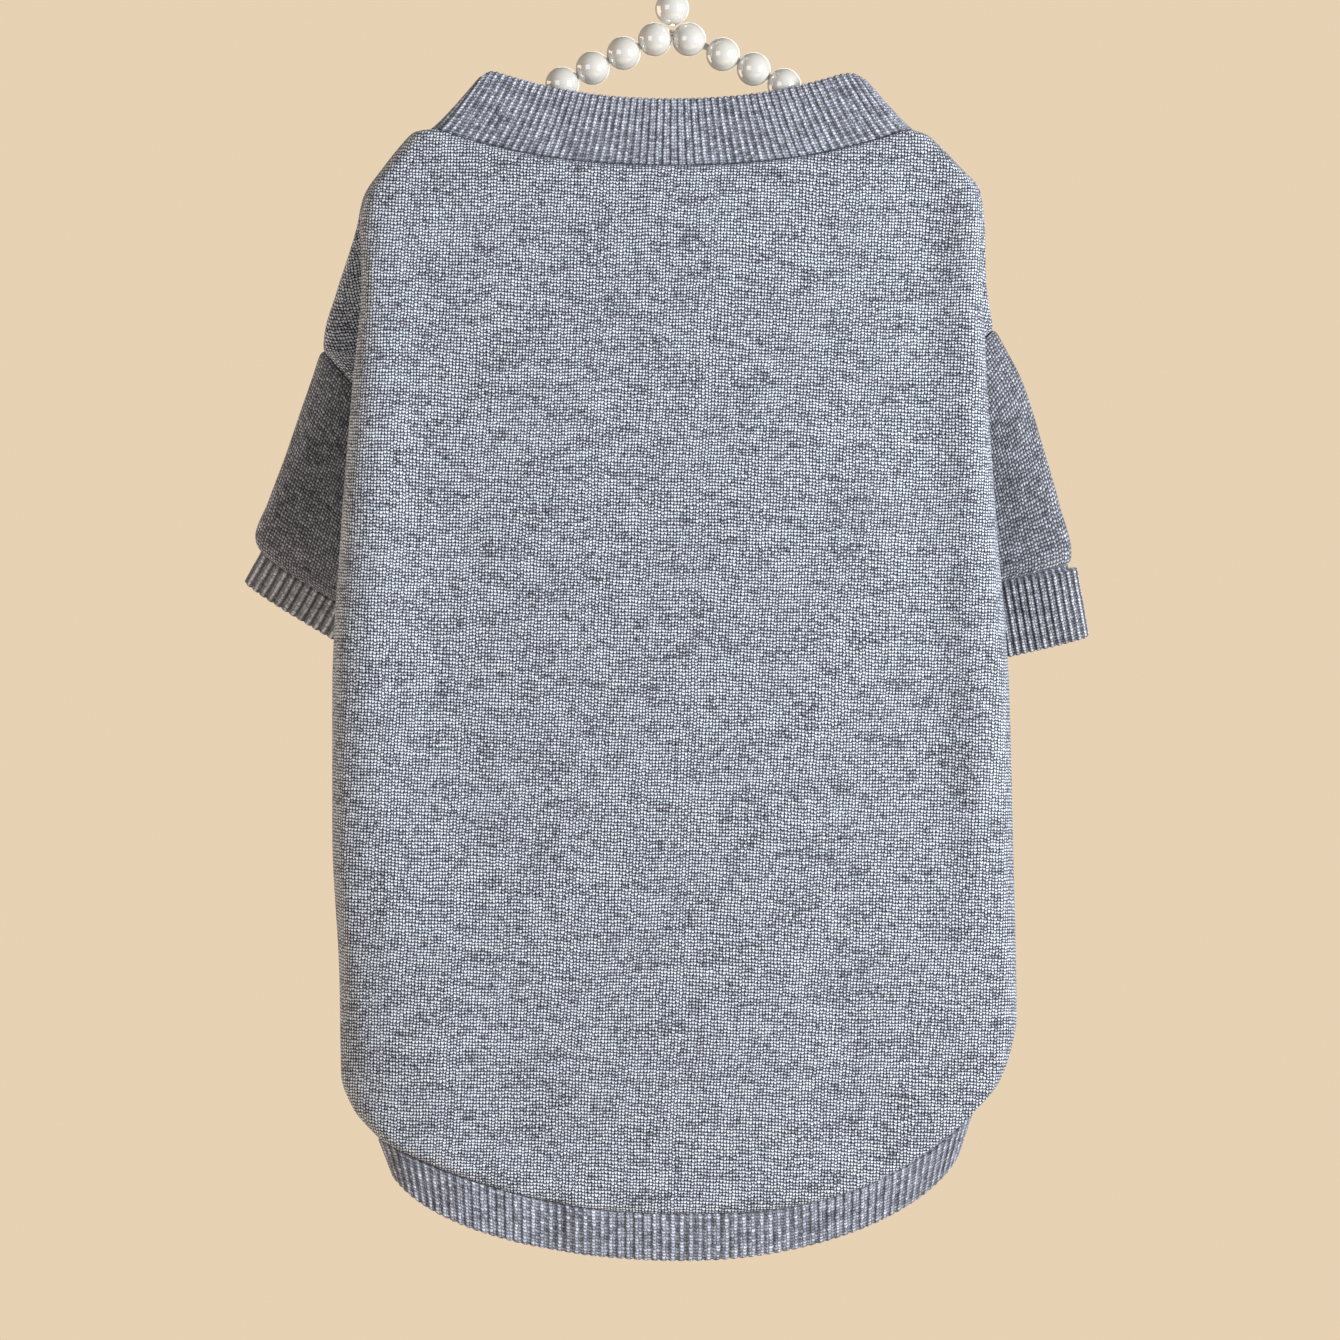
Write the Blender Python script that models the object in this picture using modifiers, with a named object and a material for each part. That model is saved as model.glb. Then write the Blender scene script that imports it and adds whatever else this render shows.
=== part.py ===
"""Pet sweatshirt in heather fleece knit, hung back side out on a beaded wire hanger.

Z is up and the back panel faces -Y. The origin is the inner crown of the hook, where a
rod or a nail carries the whole thing. The tables and sizes are in millimetres, and a
length becomes metres when it goes into a mesh.
"""

import math
from collections import namedtuple

import bpy
from mathutils import Vector

MM = 0.001

# ---- driving dimensions ----
JERSEY = 1.7  # fleece knit wall
RIB = 2.2  # folded rib wall
SEAM = 0.3  # gap between sewn pieces
NECK_Z = -78.0  # height of the neck points, where collar and shoulder seams meet
NECK_DIP_BACK = 11.0  # neck seam below the neck points, middle of the back
NECK_DIP_FRONT = 29.0  # the same on the belly side
BACK_HEM_DROP = 319.5  # hem seam below the neck points, middle of the back
BELLY_HEM_DROP = 232.0  # the same on the belly side
COLLAR = 19.5  # collar height
HEM = 14.0  # hem band height
COLLAR_TAPER = 0.82  # top of the collar against its seam, in width
ARM_LEVEL, UNDERARM_LEVEL = 0.22, 0.42  # how far down a side line the armhole starts and ends

WIRE = 2.0  # hanger wire diameter
HOOK_BEND = 14.0  # hook radius, to the wire's centre
BEAD = 9.8  # bead diameter
BEAD_PITCH = 10.1
BEAD_PLAY = 0.3  # bore round the wire
BEADS_EACH_ARM = 8
STEM_BEAD_Z = -42.0
ARM_TOP_Z = -49.3  # where the two arm lines would cross
ARM_END = 73.0  # half the hanger's width
ARM_SLOPE, ARM_DROOP = 0.40, 0.0021  # an arm falls this much per mm, and per mm squared
ARM_BEND = 0.5  # how soft the bend between the arms is
RIGHT_SLACK = 0.8  # bare wire after the first bead on the right arm

# ---- the lines of the body, a row for each place down the line ----
# drop: below the neck points. out: from the middle. back: towards +Y.
# turn: where the section heads there, 0 outwards, 90 back, 180 to the middle.
Place = namedtuple("Place", "drop out back turn")

# the apex of the soft side fold that ends the back panel's near face
FOLD = {
    -1: [
        Place(0.0, 69.6, -4.0, 90),
        Place(1.5, 75.6, -4.0, 90),
        Place(3.5, 78.2, -4.0, 90),
        Place(11.0, 84.6, -4.3, 90),
        Place(20.0, 90.3, -5.0, 90),
        Place(30.0, 91.8, -6.0, 90),
        Place(45.0, 91.5, -7.0, 90),
        Place(75.0, 94.1, -6.5, 90),
        Place(115.0, 97.4, -4.5, 90),
        Place(167.0, 100.3, -2.5, 90),
        Place(207.0, 100.3, -2.5, 90),
        Place(250.0, 98.2, -2.5, 90),
        Place(279.0, 97.7, -2.5, 90),
        Place(289.0, 94.1, -2.5, 90),
        Place(297.5, 86.8, -2.5, 90),
    ],
    1: [
        Place(0.0, 70.3, -4.0, 90),
        Place(1.5, 74.6, -4.0, 90),
        Place(3.5, 77.0, -4.0, 90),
        Place(11.0, 84.4, -4.3, 90),
        Place(18.0, 90.3, -5.0, 90),
        Place(30.0, 91.8, -6.0, 90),
        Place(45.0, 91.7, -6.8, 90),
        Place(76.0, 92.9, -6.5, 90),
        Place(115.0, 95.6, -5.0, 90),
        Place(165.0, 99.5, -2.5, 90),
        Place(207.0, 100.6, -2.5, 90),
        Place(262.0, 101.7, -2.5, 90),
        Place(270.5, 100.3, -2.5, 90),
        Place(281.0, 96.6, -2.5, 90),
        Place(290.0, 88.8, -2.5, 90),
    ],
}

# the crease behind that fold, and under the arm the start of the far side
CREASE = {
    -1: [
        Place(0.0, 70.2, -2.0, 90),
        Place(1.5, 76.1, -2.0, 90),
        Place(3.5, 78.8, -2.0, 90),
        Place(11.0, 85.1, -2.2, 90),
        Place(20.0, 90.9, -2.6, 90),
        Place(29.0, 92.0, -3.3, 90),
        Place(38.0, 89.6, -4.0, 90),
        Place(65.0, 87.0, -3.2, 90),
        Place(76.0, 83.0, -2.4, 92),
        Place(90.0, 73.0, -1.2, 100),
        Place(104.0, 66.5, -0.2, 110),
        Place(110.0, 66.3, 1.2, 125),
        Place(116.0, 65.8, 5.0, 150),
        Place(128.0, 64.5, 8.0, 170),
        Place(170.0, 63.0, 9.0, 180),
        Place(272.5, 63.0, 7.0, 180),
    ],
    1: [
        Place(0.0, 70.9, -2.0, 90),
        Place(1.5, 75.1, -2.0, 90),
        Place(3.5, 77.5, -2.0, 90),
        Place(11.0, 84.9, -2.2, 90),
        Place(18.0, 90.7, -2.6, 90),
        Place(30.0, 91.9, -3.3, 90),
        Place(42.0, 91.2, -4.0, 90),
        Place(59.0, 89.8, -3.6, 90),
        Place(70.0, 80.0, -2.4, 92),
        Place(84.0, 71.5, -1.2, 100),
        Place(96.0, 66.5, -0.2, 110),
        Place(102.0, 66.3, 1.2, 125),
        Place(108.0, 65.8, 5.0, 150),
        Place(120.0, 64.5, 8.0, 170),
        Place(165.0, 63.0, 9.0, 180),
        Place(269.0, 63.0, 7.0, 180),
    ],
}

# the shoulder seam, which runs along the ridge between near and far layer
SHOULDER = {
    -1: [
        Place(0.0, 70.5, 0.0, 90),
        Place(1.5, 76.5, 0.0, 90),
        Place(3.5, 79.2, 0.0, 90),
        Place(11.0, 85.3, 0.0, 90),
        Place(20.0, 91.3, 0.0, 90),
        Place(29.0, 93.3, 0.4, 90),
        Place(48.0, 99.4, 2.4, 90),
        Place(60.0, 102.9, 3.3, 90),
        Place(64.9, 103.3, 3.2, 90),
    ],
    1: [
        Place(0.0, 71.2, 0.0, 90),
        Place(1.5, 75.5, 0.0, 90),
        Place(3.5, 77.9, 0.0, 90),
        Place(11.0, 85.2, 0.0, 90),
        Place(18.0, 91.1, 0.0, 90),
        Place(30.0, 92.5, 0.0, 90),
        Place(43.0, 92.8, 1.2, 90),
        Place(58.7, 95.0, 2.2, 90),
    ],
}

# the armhole seam; far: how far back its other half lies, on the belly panel
Armhole = namedtuple("Armhole", "drop out back turn far")
ARMHOLE = {
    -1: [
        Armhole(64.9, 103.3, 3.2, 90, 5.2),
        Armhole(68.0, 100.6, 1.0, 50, 7.0),
        Armhole(75.0, 94.3, -0.2, 25, 8.6),
        Armhole(90.0, 79.5, 1.4, 25, 9.8),
        Armhole(104.0, 68.0, 3.0, 60, 10.4),
        Armhole(109.5, 64.5, 4.0, 95, 10.2),
        Armhole(112.0, 62.5, 5.2, 130, 9.4),
        Armhole(114.0, 60.0, 7.2, 170, 7.2),
    ],
    1: [
        Armhole(58.7, 95.0, 2.2, 90, 4.2),
        Armhole(61.0, 92.6, 0.4, 50, 6.6),
        Armhole(70.0, 84.5, 0.0, 25, 8.6),
        Armhole(84.0, 75.0, 1.6, 30, 9.8),
        Armhole(96.0, 67.6, 3.0, 60, 10.4),
        Armhole(101.5, 64.4, 4.0, 95, 10.2),
        Armhole(104.0, 62.5, 5.2, 130, 9.4),
        Armhole(106.0, 60.0, 7.2, 170, 7.2),
    ],
}

# the side seam, on the far side under each arm
SIDE_SEAM = {
    -1: [
        Place(114.0, 60.0, 7.2, 170),
        Place(126.0, 60.0, 8.6, 180),
        Place(165.0, 60.0, 9.2, 180),
        Place(270.0, 60.0, 7.2, 180),
    ],
    1: [
        Place(106.0, 60.0, 7.2, 170),
        Place(118.0, 60.0, 8.6, 180),
        Place(160.0, 60.0, 9.2, 180),
        Place(267.0, 60.0, 7.2, 180),
    ],
}

# the body's depth; level: share of the way from neck seam to hem seam
# near, far: the middle of the back and of the belly. rounding: width of the side fold.
Depth = namedtuple("Depth", "level near crown rounding far")
DEPTHS = [
    Depth(0.00, -8.8, 0.4, 7.0, 8.4),
    Depth(0.05, -9.6, 0.6, 7.5, 8.6),
    Depth(0.22, -12.0, 1.4, 8.0, 9.6),
    Depth(0.50, -13.2, 1.6, 9.5, 10.4),
    Depth(0.80, -12.6, 1.4, 9.5, 9.4),
    Depth(1.00, -10.8, 1.0, 8.5, 8.0),
]

# ---- the sleeves and cuffs: outer and underarm fold of each section ----
Section = namedtuple("Section", "level outer_drop outer_out outer_back drop out back thick")
SLEEVE = {
    -1: [
        Section(0.00, 64.9, 103.3, 2.0, 114.0, 60.0, 8.2, 6.0),
        Section(0.25, 80.0, 109.2, 6.5, 126.0, 63.5, 16.5, 10.0),
        Section(0.50, 94.5, 114.5, 12.0, 136.0, 68.0, 23.0, 11.0),
        Section(0.75, 109.5, 120.6, 19.5, 145.0, 72.5, 29.0, 11.0),
        Section(0.93, 118.8, 124.2, 26.5, 147.4, 75.5, 33.0, 10.0),
        Section(1.00, 122.8, 122.8, 29.0, 148.8, 76.5, 34.0, 8.0),
    ],
    1: [
        Section(0.00, 58.7, 95.0, 1.5, 106.0, 60.0, 8.2, 6.0),
        Section(0.25, 73.0, 103.4, 5.5, 116.0, 63.5, 15.5, 9.5),
        Section(0.50, 92.0, 109.8, 9.0, 124.5, 67.0, 19.0, 10.5),
        Section(0.75, 111.0, 115.4, 12.0, 132.5, 70.5, 21.0, 11.0),
        Section(0.93, 123.3, 118.4, 14.0, 136.6, 73.0, 22.0, 11.0),
        Section(1.00, 127.9, 118.2, 14.5, 138.4, 73.5, 22.0, 10.0),
    ],
}
CUFF = {
    -1: [
        Section(0.0, 123.3, 122.9, 29.6, 149.5, 76.6, 34.5, 8.0),
        Section(1.0, 132.6, 129.2, 47.4, 160.0, 83.0, 51.8, 8.5),
    ],
    1: [
        Section(0.0, 129.1, 120.6, 14.8, 139.4, 73.3, 22.3, 10.5),
        Section(1.0, 149.7, 124.3, 18.5, 160.6, 76.8, 26.0, 11.0),
    ],
}

# ---- grids: where rows and columns of cloth lie ----
SHOULDER_LEVELS = [0, 0.005, 0.0115, 0.022, 0.037, 0.052, 0.072, 0.097, 0.127, 0.16, 0.19]
ARM_STEPS = 8
SLEEVE_TIP = 0.985  # a sleeve reaches this far down its armhole, clear of the side seam
SIDE_LEVELS = [0.48, 0.56, 0.64, 0.72, 0.80, 0.87, 0.92, 0.945, 0.962, 0.977, 0.99, 1]
NEAR_COLUMNS = [0, 0.14, 0.28, 0.42, 0.56, 0.70, 0.78, 0.86, 0.93, 1]
FLAT_SHARE = 0.70  # columns up to here are the flat of the near face, then its rounding
BELLY_FLAT_SHARE, BELLY_CORNER = 0.70, 8.0  # the same on the belly, and the rounding's width
SIDE_COLUMNS = [1.33, 1.67, 2, 2.35, 2.7, 2.9, 2.975, 3]
BELLY_COLUMNS = [0, 0.18, 0.36, 0.54, 0.7, 0.82, 0.92, 0.98, 1]
BAND_STEPS = 4

SLEEVE_LEVELS = [0, 0.12, 0.25, 0.42, 0.6, 0.78, 0.93, 1]

COLOURS = {
    "jersey": ((0.33, 0.35, 0.41, 1), 0.9, 0.0),
    "rib": ((0.30, 0.32, 0.38, 1), 0.9, 0.0),
    "pearl": ((0.88, 0.85, 0.79, 1), 0.2, 0.0),
    "wire": ((0.75, 0.75, 0.76, 1), 0.25, 1.0),
}


# ---- reading the tables ----
def slope_at(spots, values, i):
    """The slope of a smooth curve at one row, flat where the values turn back."""
    before = (values[i] - values[i - 1]) / (spots[i] - spots[i - 1]) if i else None
    after = None
    if i + 1 < len(spots):
        after = (values[i + 1] - values[i]) / (spots[i + 1] - spots[i])
    if before is None or after is None:
        return after if before is None else before
    if before * after <= 0:
        return 0.0
    return 2 * before * after / (before + after)


def between(table, spot):
    """A table's row at any spot down its first column, smoothly between its rows."""
    spots = [row[0] for row in table]
    spot = min(max(spot, spots[0]), spots[-1])
    i = max(j for j in range(len(spots) - 1) if spots[j] <= spot)
    gap = spots[i + 1] - spots[i]
    t = (spot - spots[i]) / gap
    row = [spot]
    for values in list(zip(*table))[1:]:
        start, end = values[i], values[i + 1]
        rise, run = slope_at(spots, values, i) * gap, slope_at(spots, values, i + 1) * gap
        bow = t * (1 - t) * ((1 - t) * (rise - (end - start)) - t * (run - (end - start)))
        row.append(start + (end - start) * t + bow)
    return type(table[0])(*row)


def drop_at(level, side_top, arm, underarm, bottom):
    """The drop at a level of a side line, with its armhole between the same two levels."""
    stations = ((0, side_top), (ARM_LEVEL, arm), (UNDERARM_LEVEL, underarm), (1, bottom))
    for (low, start), (high, end) in zip(stations, stations[1:]):
        if level <= high:
            return start + (end - start) * (level - low) / (high - low)
    return bottom


def edge_at(side, level):
    """The back panel's edge: down the shoulder seam, the armhole and the side seam."""
    arm, underarm = ARMHOLE[side][0].drop, ARMHOLE[side][-1].drop
    drop = drop_at(level, 0, arm, underarm, SIDE_SEAM[side][-1].drop)
    if level <= ARM_LEVEL:
        return between(SHOULDER[side], drop)
    if level <= UNDERARM_LEVEL:
        return between(ARMHOLE[side], drop)
    return between(SIDE_SEAM[side], drop)


def crease_at(side, level):
    arm, underarm = ARMHOLE[side][0].drop, ARMHOLE[side][-1].drop
    drop = drop_at(level, 0, arm, underarm + 1, CREASE[side][-1].drop)
    return between(CREASE[side], drop)


def fold_at(side, level):
    return between(FOLD[side], level * FOLD[side][-1].drop)


# ---- the body's two panels ----
def heading(place):
    """The direction of a section at a place, as distances out and back."""
    turn = math.radians(place.turn)
    return math.cos(turn), math.sin(turn)


def swing(start, end, t):
    """A point on the curve that leaves one place and arrives at another by their turns."""
    (out_a, back_a), (out_b, back_b) = heading(start), heading(end)
    across, deep = abs(end.out - start.out), abs(end.back - start.back)
    pull_a = 0.8 * (abs(out_a) * across + abs(back_a) * deep)
    pull_b = 0.8 * (abs(out_b) * across + abs(back_b) * deep)
    a, b, c, d = (1 - t) ** 3, 3 * (1 - t) ** 2 * t, 3 * (1 - t) * t**2, t**3
    out = a * start.out + b * (start.out + pull_a * out_a)
    out += c * (end.out - pull_b * out_b) + d * end.out
    back = a * start.back + b * (start.back + pull_a * back_a)
    back += c * (end.back - pull_b * back_b) + d * end.back
    return out, back, start.drop + (end.drop - start.drop) * t


def quarter(t, flat, width, height, start):
    """A rounded corner after a flat: out and back at t from 0 to 1."""
    angle = t * math.pi / 2
    return flat + width * math.sin(angle), start + height * (1 - math.cos(angle))


def near_drop(side, share, level):
    """How far down a point of the near face lies, from the neck seam to the hem seam."""
    top = NECK_DIP_BACK * (1 - share**2.3)
    rise = BACK_HEM_DROP - FOLD[side][-1].drop
    bottom = BACK_HEM_DROP - rise * share ** (2.05 if side < 0 else 2.9)
    return top + (bottom - top) * level


def back_point(column, level, trim=0.0):
    """A point of the back panel: column 0 is its middle, 1 the side fold, 2 the crease
    behind it and 3 the sewn edge, negative on the left."""
    side, q = (-1 if column < 0 else 1), abs(column)
    depth, fold = between(DEPTHS, level), fold_at(side, level)
    if q <= 1:
        flat = fold.out - depth.rounding
        if q <= FLAT_SHARE:
            out = flat * q / FLAT_SHARE
            back = depth.near + depth.crown * (out / flat) ** 2
        else:
            turn = (q - FLAT_SHARE) / (1 - FLAT_SHARE)
            start = depth.near + depth.crown
            out, back = quarter(turn, flat, depth.rounding, fold.back - start, start)
        drop = near_drop(side, out / fold.out, level)
    elif q <= 2:
        out, back, drop = swing(fold, crease_at(side, level), q - 1)
    else:
        edge = edge_at(side, level)
        ahead = heading(edge)
        edge = edge._replace(out=edge.out - trim * ahead[0], back=edge.back - trim * ahead[1])
        out, back, drop = swing(crease_at(side, level), edge, q - 2)
    return Vector((side * out, back, NECK_Z - drop))


def belly_point(column, level, trim=0.0):
    """A point of the belly panel: column 0 is its middle and 1 its sewn edge."""
    side, p = (-1 if column < 0 else 1), abs(column)
    edge, depth = edge_at(side, level), between(DEPTHS, level)
    back = edge.back
    if ARM_LEVEL <= level < UNDERARM_LEVEL:
        back = between(ARMHOLE[side], edge.drop).far
    flat = edge.out - BELLY_CORNER
    t = (p - BELLY_FLAT_SHARE) / (1 - BELLY_FLAT_SHARE)
    if t > 0:
        out, y = quarter(t, flat, BELLY_CORNER, back + trim - depth.far, depth.far)
        ease = min(1, max(0, (level - ARM_LEVEL) / 0.06))
        out += (flat + BELLY_CORNER * t - out) * ease
        y += (depth.far + (back - depth.far) * t * t * (3 - 2 * t) - y) * ease
    else:
        out, y = flat * p / BELLY_FLAT_SHARE, depth.far
    if level >= ARM_LEVEL:
        out -= trim * out / edge.out
    share = out / edge.out
    top = NECK_DIP_FRONT * (1 - share**2.2)
    bottom = BELLY_HEM_DROP + (SIDE_SEAM[side][-1].drop - BELLY_HEM_DROP) * share**2
    middle = top + (bottom - top) * level
    drop = middle + (edge.drop - level * SIDE_SEAM[side][-1].drop) * share**2
    return Vector((side * out, y, NECK_Z - drop))


def mirrored(columns):
    """The same columns on both sides of the middle."""
    return [-c for c in reversed(columns) if c] + list(columns)


def arm_levels(reach=1.0):
    """Levels down the armhole, closer together towards the underarm."""
    spread = [reach * (1 - (1 - k / ARM_STEPS) ** 1.5) for k in range(ARM_STEPS + 1)]
    return [ARM_LEVEL + (UNDERARM_LEVEL - ARM_LEVEL) * share for share in spread]


BODY_LEVELS = SHOULDER_LEVELS + arm_levels() + SIDE_LEVELS
BACK_COLUMNS = mirrored(NEAR_COLUMNS + SIDE_COLUMNS)


def body_loop(level, columns):
    """All round the body at one level: the back panel, then the belly from right to left."""
    near = [back_point(column, level) for column in columns]
    far = [belly_point(column, level) for column in reversed(mirrored(BELLY_COLUMNS))]
    return near + far[1:-1]


# ---- the rib bands ----
def neck_band_rows():
    """The collar: up from the neck seam, narrowing to its top edge."""
    seam = body_loop(0, mirrored(NEAR_COLUMNS + [2, 3]))
    rows = []
    for step in range(BAND_STEPS + 1):
        t = step / BAND_STEPS
        row = []
        for point in seam:
            near = point.y < 0
            side_out = SHOULDER[1 if point.x > 0 else -1][0].out
            share = min(1, abs(point.x) / side_out)
            dip = NECK_DIP_BACK - 3.7 if near else NECK_DIP_FRONT - 4.5
            top = NECK_Z + COLLAR - 3.2 - dip * (1 - share**2.2)
            bottom = point.z + 1.15 * SEAM
            in_by = 1 - (1 - COLLAR_TAPER) * t**0.9
            row.append(Vector((point.x * in_by, point.y * 0.96, bottom + (top - bottom) * t)))
        rows.append(row)
    return rows


def hem_bottom_z(x, side):
    """The hem band's lower edge across the back, half an ellipse on each side."""
    half, centre = (86.5, 299.6) if side < 0 else (88.8, 290.0)
    lowest = BACK_HEM_DROP + HEM
    return NECK_Z - centre - (lowest - centre) * math.sqrt(max(0, 1 - (x / half) ** 2))


def hem_band_rows():
    """The hem band: down from the hem seam, drawn in a little round the sides."""
    seam = body_loop(1, BACK_COLUMNS)
    count = len(BACK_COLUMNS)
    rows = []
    for step in range(BAND_STEPS):
        t = step / (BAND_STEPS - 1)
        row = []
        for i, point in enumerate(seam):
            side = 1 if point.x > 0 else -1
            share = min(1, abs(point.x) / FOLD[side][-1].out)
            on_near = i < count and abs(BACK_COLUMNS[i]) <= 1
            if on_near:
                end = Vector((point.x * (1 - 0.05 * share**4), point.y + 1.2, 0))
                end.z = hem_bottom_z(end.x, side)
            else:
                in_by = 4.5 * share
                end = point + Vector((-side * in_by, -0.6, -math.sqrt(HEM**2 - in_by**2)))
            start = point - Vector((0, 0, SEAM * (1.4 + 1.8 * share**2)))
            row.append(start.lerp(end, t))
        rows.append(row)
    return rows


# ---- sleeves and cuffs ----
def flattened(section, side, turn, axis):
    """A point round a soft flattened tube; turn 0 is its outer fold, 0.5 the underarm."""
    outer = Vector((side * section.outer_out, section.outer_back, NECK_Z - section.outer_drop))
    inner = Vector((side * section.out, section.back, NECK_Z - section.drop))
    half = (outer - inner) / 2
    across = half.cross(axis).normalized() * section.thick / 2
    if across.y > 0:
        across = -across
    angle = 2 * math.pi * turn
    wide, deep = math.cos(angle), math.sin(angle)
    wide = math.copysign(abs(wide) ** 0.85, wide)
    deep = math.copysign(abs(deep) ** 0.75, deep)
    return (outer + inner) / 2 + half * wide + across * deep


def tube_axis(table, side):
    first, last = table[0], table[-1]
    start = Vector((side * (first.outer_out + first.out) / 2, first.back, -first.drop))
    end = Vector((side * (last.outer_out + last.out) / 2, last.back, -last.drop))
    return (end - start).normalized()


def armhole_loop(side):
    """Round the armhole just outside its seam, from the shoulder down the near half and
    back up the far half."""
    near, far = [], []
    for level in arm_levels(SLEEVE_TIP):
        edge = between(ARMHOLE[side], edge_at(side, level).drop)
        ahead = heading(edge)
        shift = Vector((side * 0.3 * SEAM, 0, -1.1 * SEAM))
        point = Vector((side * edge.out, edge.back, NECK_Z - edge.drop)) + shift
        near.append(point + Vector((side * max(0, ahead[0]), ahead[1], 0)) * SEAM)
        far.append(Vector((side * (edge.out + SEAM), edge.far + 0.2 * SEAM, point.z)))
    tip = near[-1].lerp(far[-1], 0.5)
    return near[:-1] + [tip] + far[-2:0:-1]


def sleeve_rows(side):
    """A sleeve: from its armhole, easing into flattened sections down to the cuff."""
    table = SLEEVE[side]
    start_axis, end_axis = tube_axis(table, side), tube_axis(CUFF[side], side)
    root = armhole_loop(side)
    count = len(root)
    rows = []
    for level in SLEEVE_LEVELS:
        section = between(table, level)
        axis = start_axis.lerp(end_axis, level**2)
        ease = (1 - level) ** 4
        row = []
        for i, start in enumerate(root):
            plain = flattened(table[0], side, i / count, start_axis)
            row.append(flattened(section, side, i / count, axis) + (start - plain) * ease)
        rows.append(row)
    return rows


def cuff_rows(side):
    table = CUFF[side]
    axis = tube_axis(table, side)
    count = 2 * ARM_STEPS
    rows = []
    for step in range(BAND_STEPS):
        section = between(table, step / (BAND_STEPS - 1))
        rows.append([flattened(section, side, i / count, axis) for i in range(count)])
    return rows


# ---- making objects ----
def material(slot):
    found = bpy.data.materials.get(slot)
    if found:
        return found
    colour, roughness, metallic = COLOURS[slot]
    made = bpy.data.materials.new(slot)
    made.use_nodes = True
    shader = made.node_tree.nodes["Principled BSDF"]
    shader.inputs["Base Color"].default_value = colour
    shader.inputs["Roughness"].default_value = roughness
    shader.inputs["Metallic"].default_value = metallic
    return made


def add_object(name, data, slot, collection):
    data.materials.clear()
    data.materials.append(material(slot))
    piece = bpy.data.objects.new(name, data)
    collection.objects.link(piece)
    return piece


def add_cloth(name, rows, wall, slot, collection, closed=False, flip=False):
    """A cloth piece: a sheet through rows of points on its outside, thickened inwards."""
    count = len(rows[0])
    points = [point * MM for row in rows for point in row]
    faces = []
    for r in range(len(rows) - 1):
        for c in range(count if closed else count - 1):
            following = (c + 1) % count
            corners = (r * count + c, (r + 1) * count + c)
            corners += ((r + 1) * count + following, r * count + following)
            faces.append(corners[::-1] if flip else corners)
    mesh = bpy.data.meshes.new(name)
    mesh.from_pydata(points, [], faces)
    mesh.shade_smooth()
    piece = add_object(name, mesh, slot, collection)
    thicken = piece.modifiers.new("wall", "SOLIDIFY")
    thicken.thickness = wall * MM
    thicken.offset = -1
    return piece


def add_wire(name, route, collection):
    """A bent wire along a route, with rounded-off square ends."""
    curve = bpy.data.curves.new(name, "CURVE")
    curve.dimensions = "3D"
    curve.bevel_depth = WIRE / 2 * MM
    curve.bevel_resolution = 2
    curve.use_fill_caps = True
    spline = curve.splines.new("POLY")
    spline.points.add(len(route) - 1)
    for spot, point in zip(spline.points, route):
        spot.co = (*(point * MM), 1)
    return add_object(name, curve, "wire", collection)


def bead_mesh():
    """One bead: its outline and bore turned about the bore."""
    radius, bore = BEAD / 2, WIRE / 2 + BEAD_PLAY
    lip = math.asin(bore / radius)
    steps = 8
    outline = []
    for k in range(steps + 1):
        angle = lip + (math.pi - 2 * lip) * k / steps
        outline.append((radius * math.sin(angle) * MM, 0, radius * math.cos(angle) * MM))
    count = len(outline)
    edges = [(k, (k + 1) % count) for k in range(count)]
    mesh = bpy.data.meshes.new("bead")
    mesh.from_pydata(outline, edges, [])
    return mesh


def add_bead(name, centre, direction, mesh, collection):
    bead = add_object(name, mesh, "pearl", collection)
    bead.location = centre * MM
    bead.rotation_euler = direction.to_track_quat("Z", "Y").to_euler()
    turn = bead.modifiers.new("turned", "SCREW")
    turn.steps = turn.render_steps = 12
    turn.use_merge_vertices = True
    turn.merge_threshold = 0.0001
    turn.use_smooth_shade = True
    return bead


# ---- the hanger ----
def arm_point(x):
    """The arm wire's centre: a soft peak, then a slope that steepens a little."""
    away = math.sqrt(x * x + ARM_BEND**2) - ARM_BEND
    return Vector((x, 0, ARM_TOP_Z - ARM_SLOPE * away - ARM_DROOP * x * x))


def hook_route():
    """Up from the arms, out to one side and round to the tip."""
    start = arm_point(0).z + WIRE + SEAM
    centre = Vector((0, 0, WIRE / 2 - HOOK_BEND))
    join, tip, straight_top = -60, 205, -35.0
    steps = 22
    bend = []
    for k in range(steps + 1):
        angle = math.radians(join + (tip - join) * k / steps)
        bend.append(centre + HOOK_BEND * Vector((math.cos(angle), 0, math.sin(angle))))
    top = Vector((0, 0, straight_top))
    heading_in = Vector((-math.sin(math.radians(join)), 0, math.cos(math.radians(join))))
    ease = []
    for k in range(1, 5):
        t = k / 5
        first = top.lerp(top + Vector((0, 0, 5)), t)
        last = (bend[0] - heading_in * 5).lerp(bend[0], t)
        ease.append(first.lerp(last, t * t * (3 - 2 * t)))
    return [Vector((0, 0, start)), top] + ease + bend


def bead_places():
    """Centres of an arm's beads, each a pitch further down the wire."""
    places = {-1: [], 1: []}
    for side in places:
        x = BEAD_PITCH / 2
        for k in range(BEADS_EACH_ARM):
            places[side].append(side * x)
            reach = BEAD_PITCH + (RIGHT_SLACK if side > 0 and k == 0 else 0)
            here, step = arm_point(x), 0.05
            while (arm_point(x) - here).length < reach:
                x += step
    return places


def add_hanger(collection):
    add_wire("hook_wire", hook_route(), collection)
    half = [ARM_END * (k / 12) ** 1.3 for k in range(1, 13)]
    route = [arm_point(x) for x in mirrored([0] + half)]
    add_wire("arm_wire", route, collection)
    mesh = bead_mesh()
    for side, word in ((-1, "left"), (1, "right")):
        for k, x in enumerate(bead_places()[side]):
            slope = arm_point(x + 0.5) - arm_point(x - 0.5)
            name = f"bead_{word}_{k + 1}"
            add_bead(name, arm_point(x), slope, mesh, collection)
    add_bead("bead_stem", Vector((0, 0, STEM_BEAD_Z)), Vector((0, 0, 1)), mesh, collection)


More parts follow.
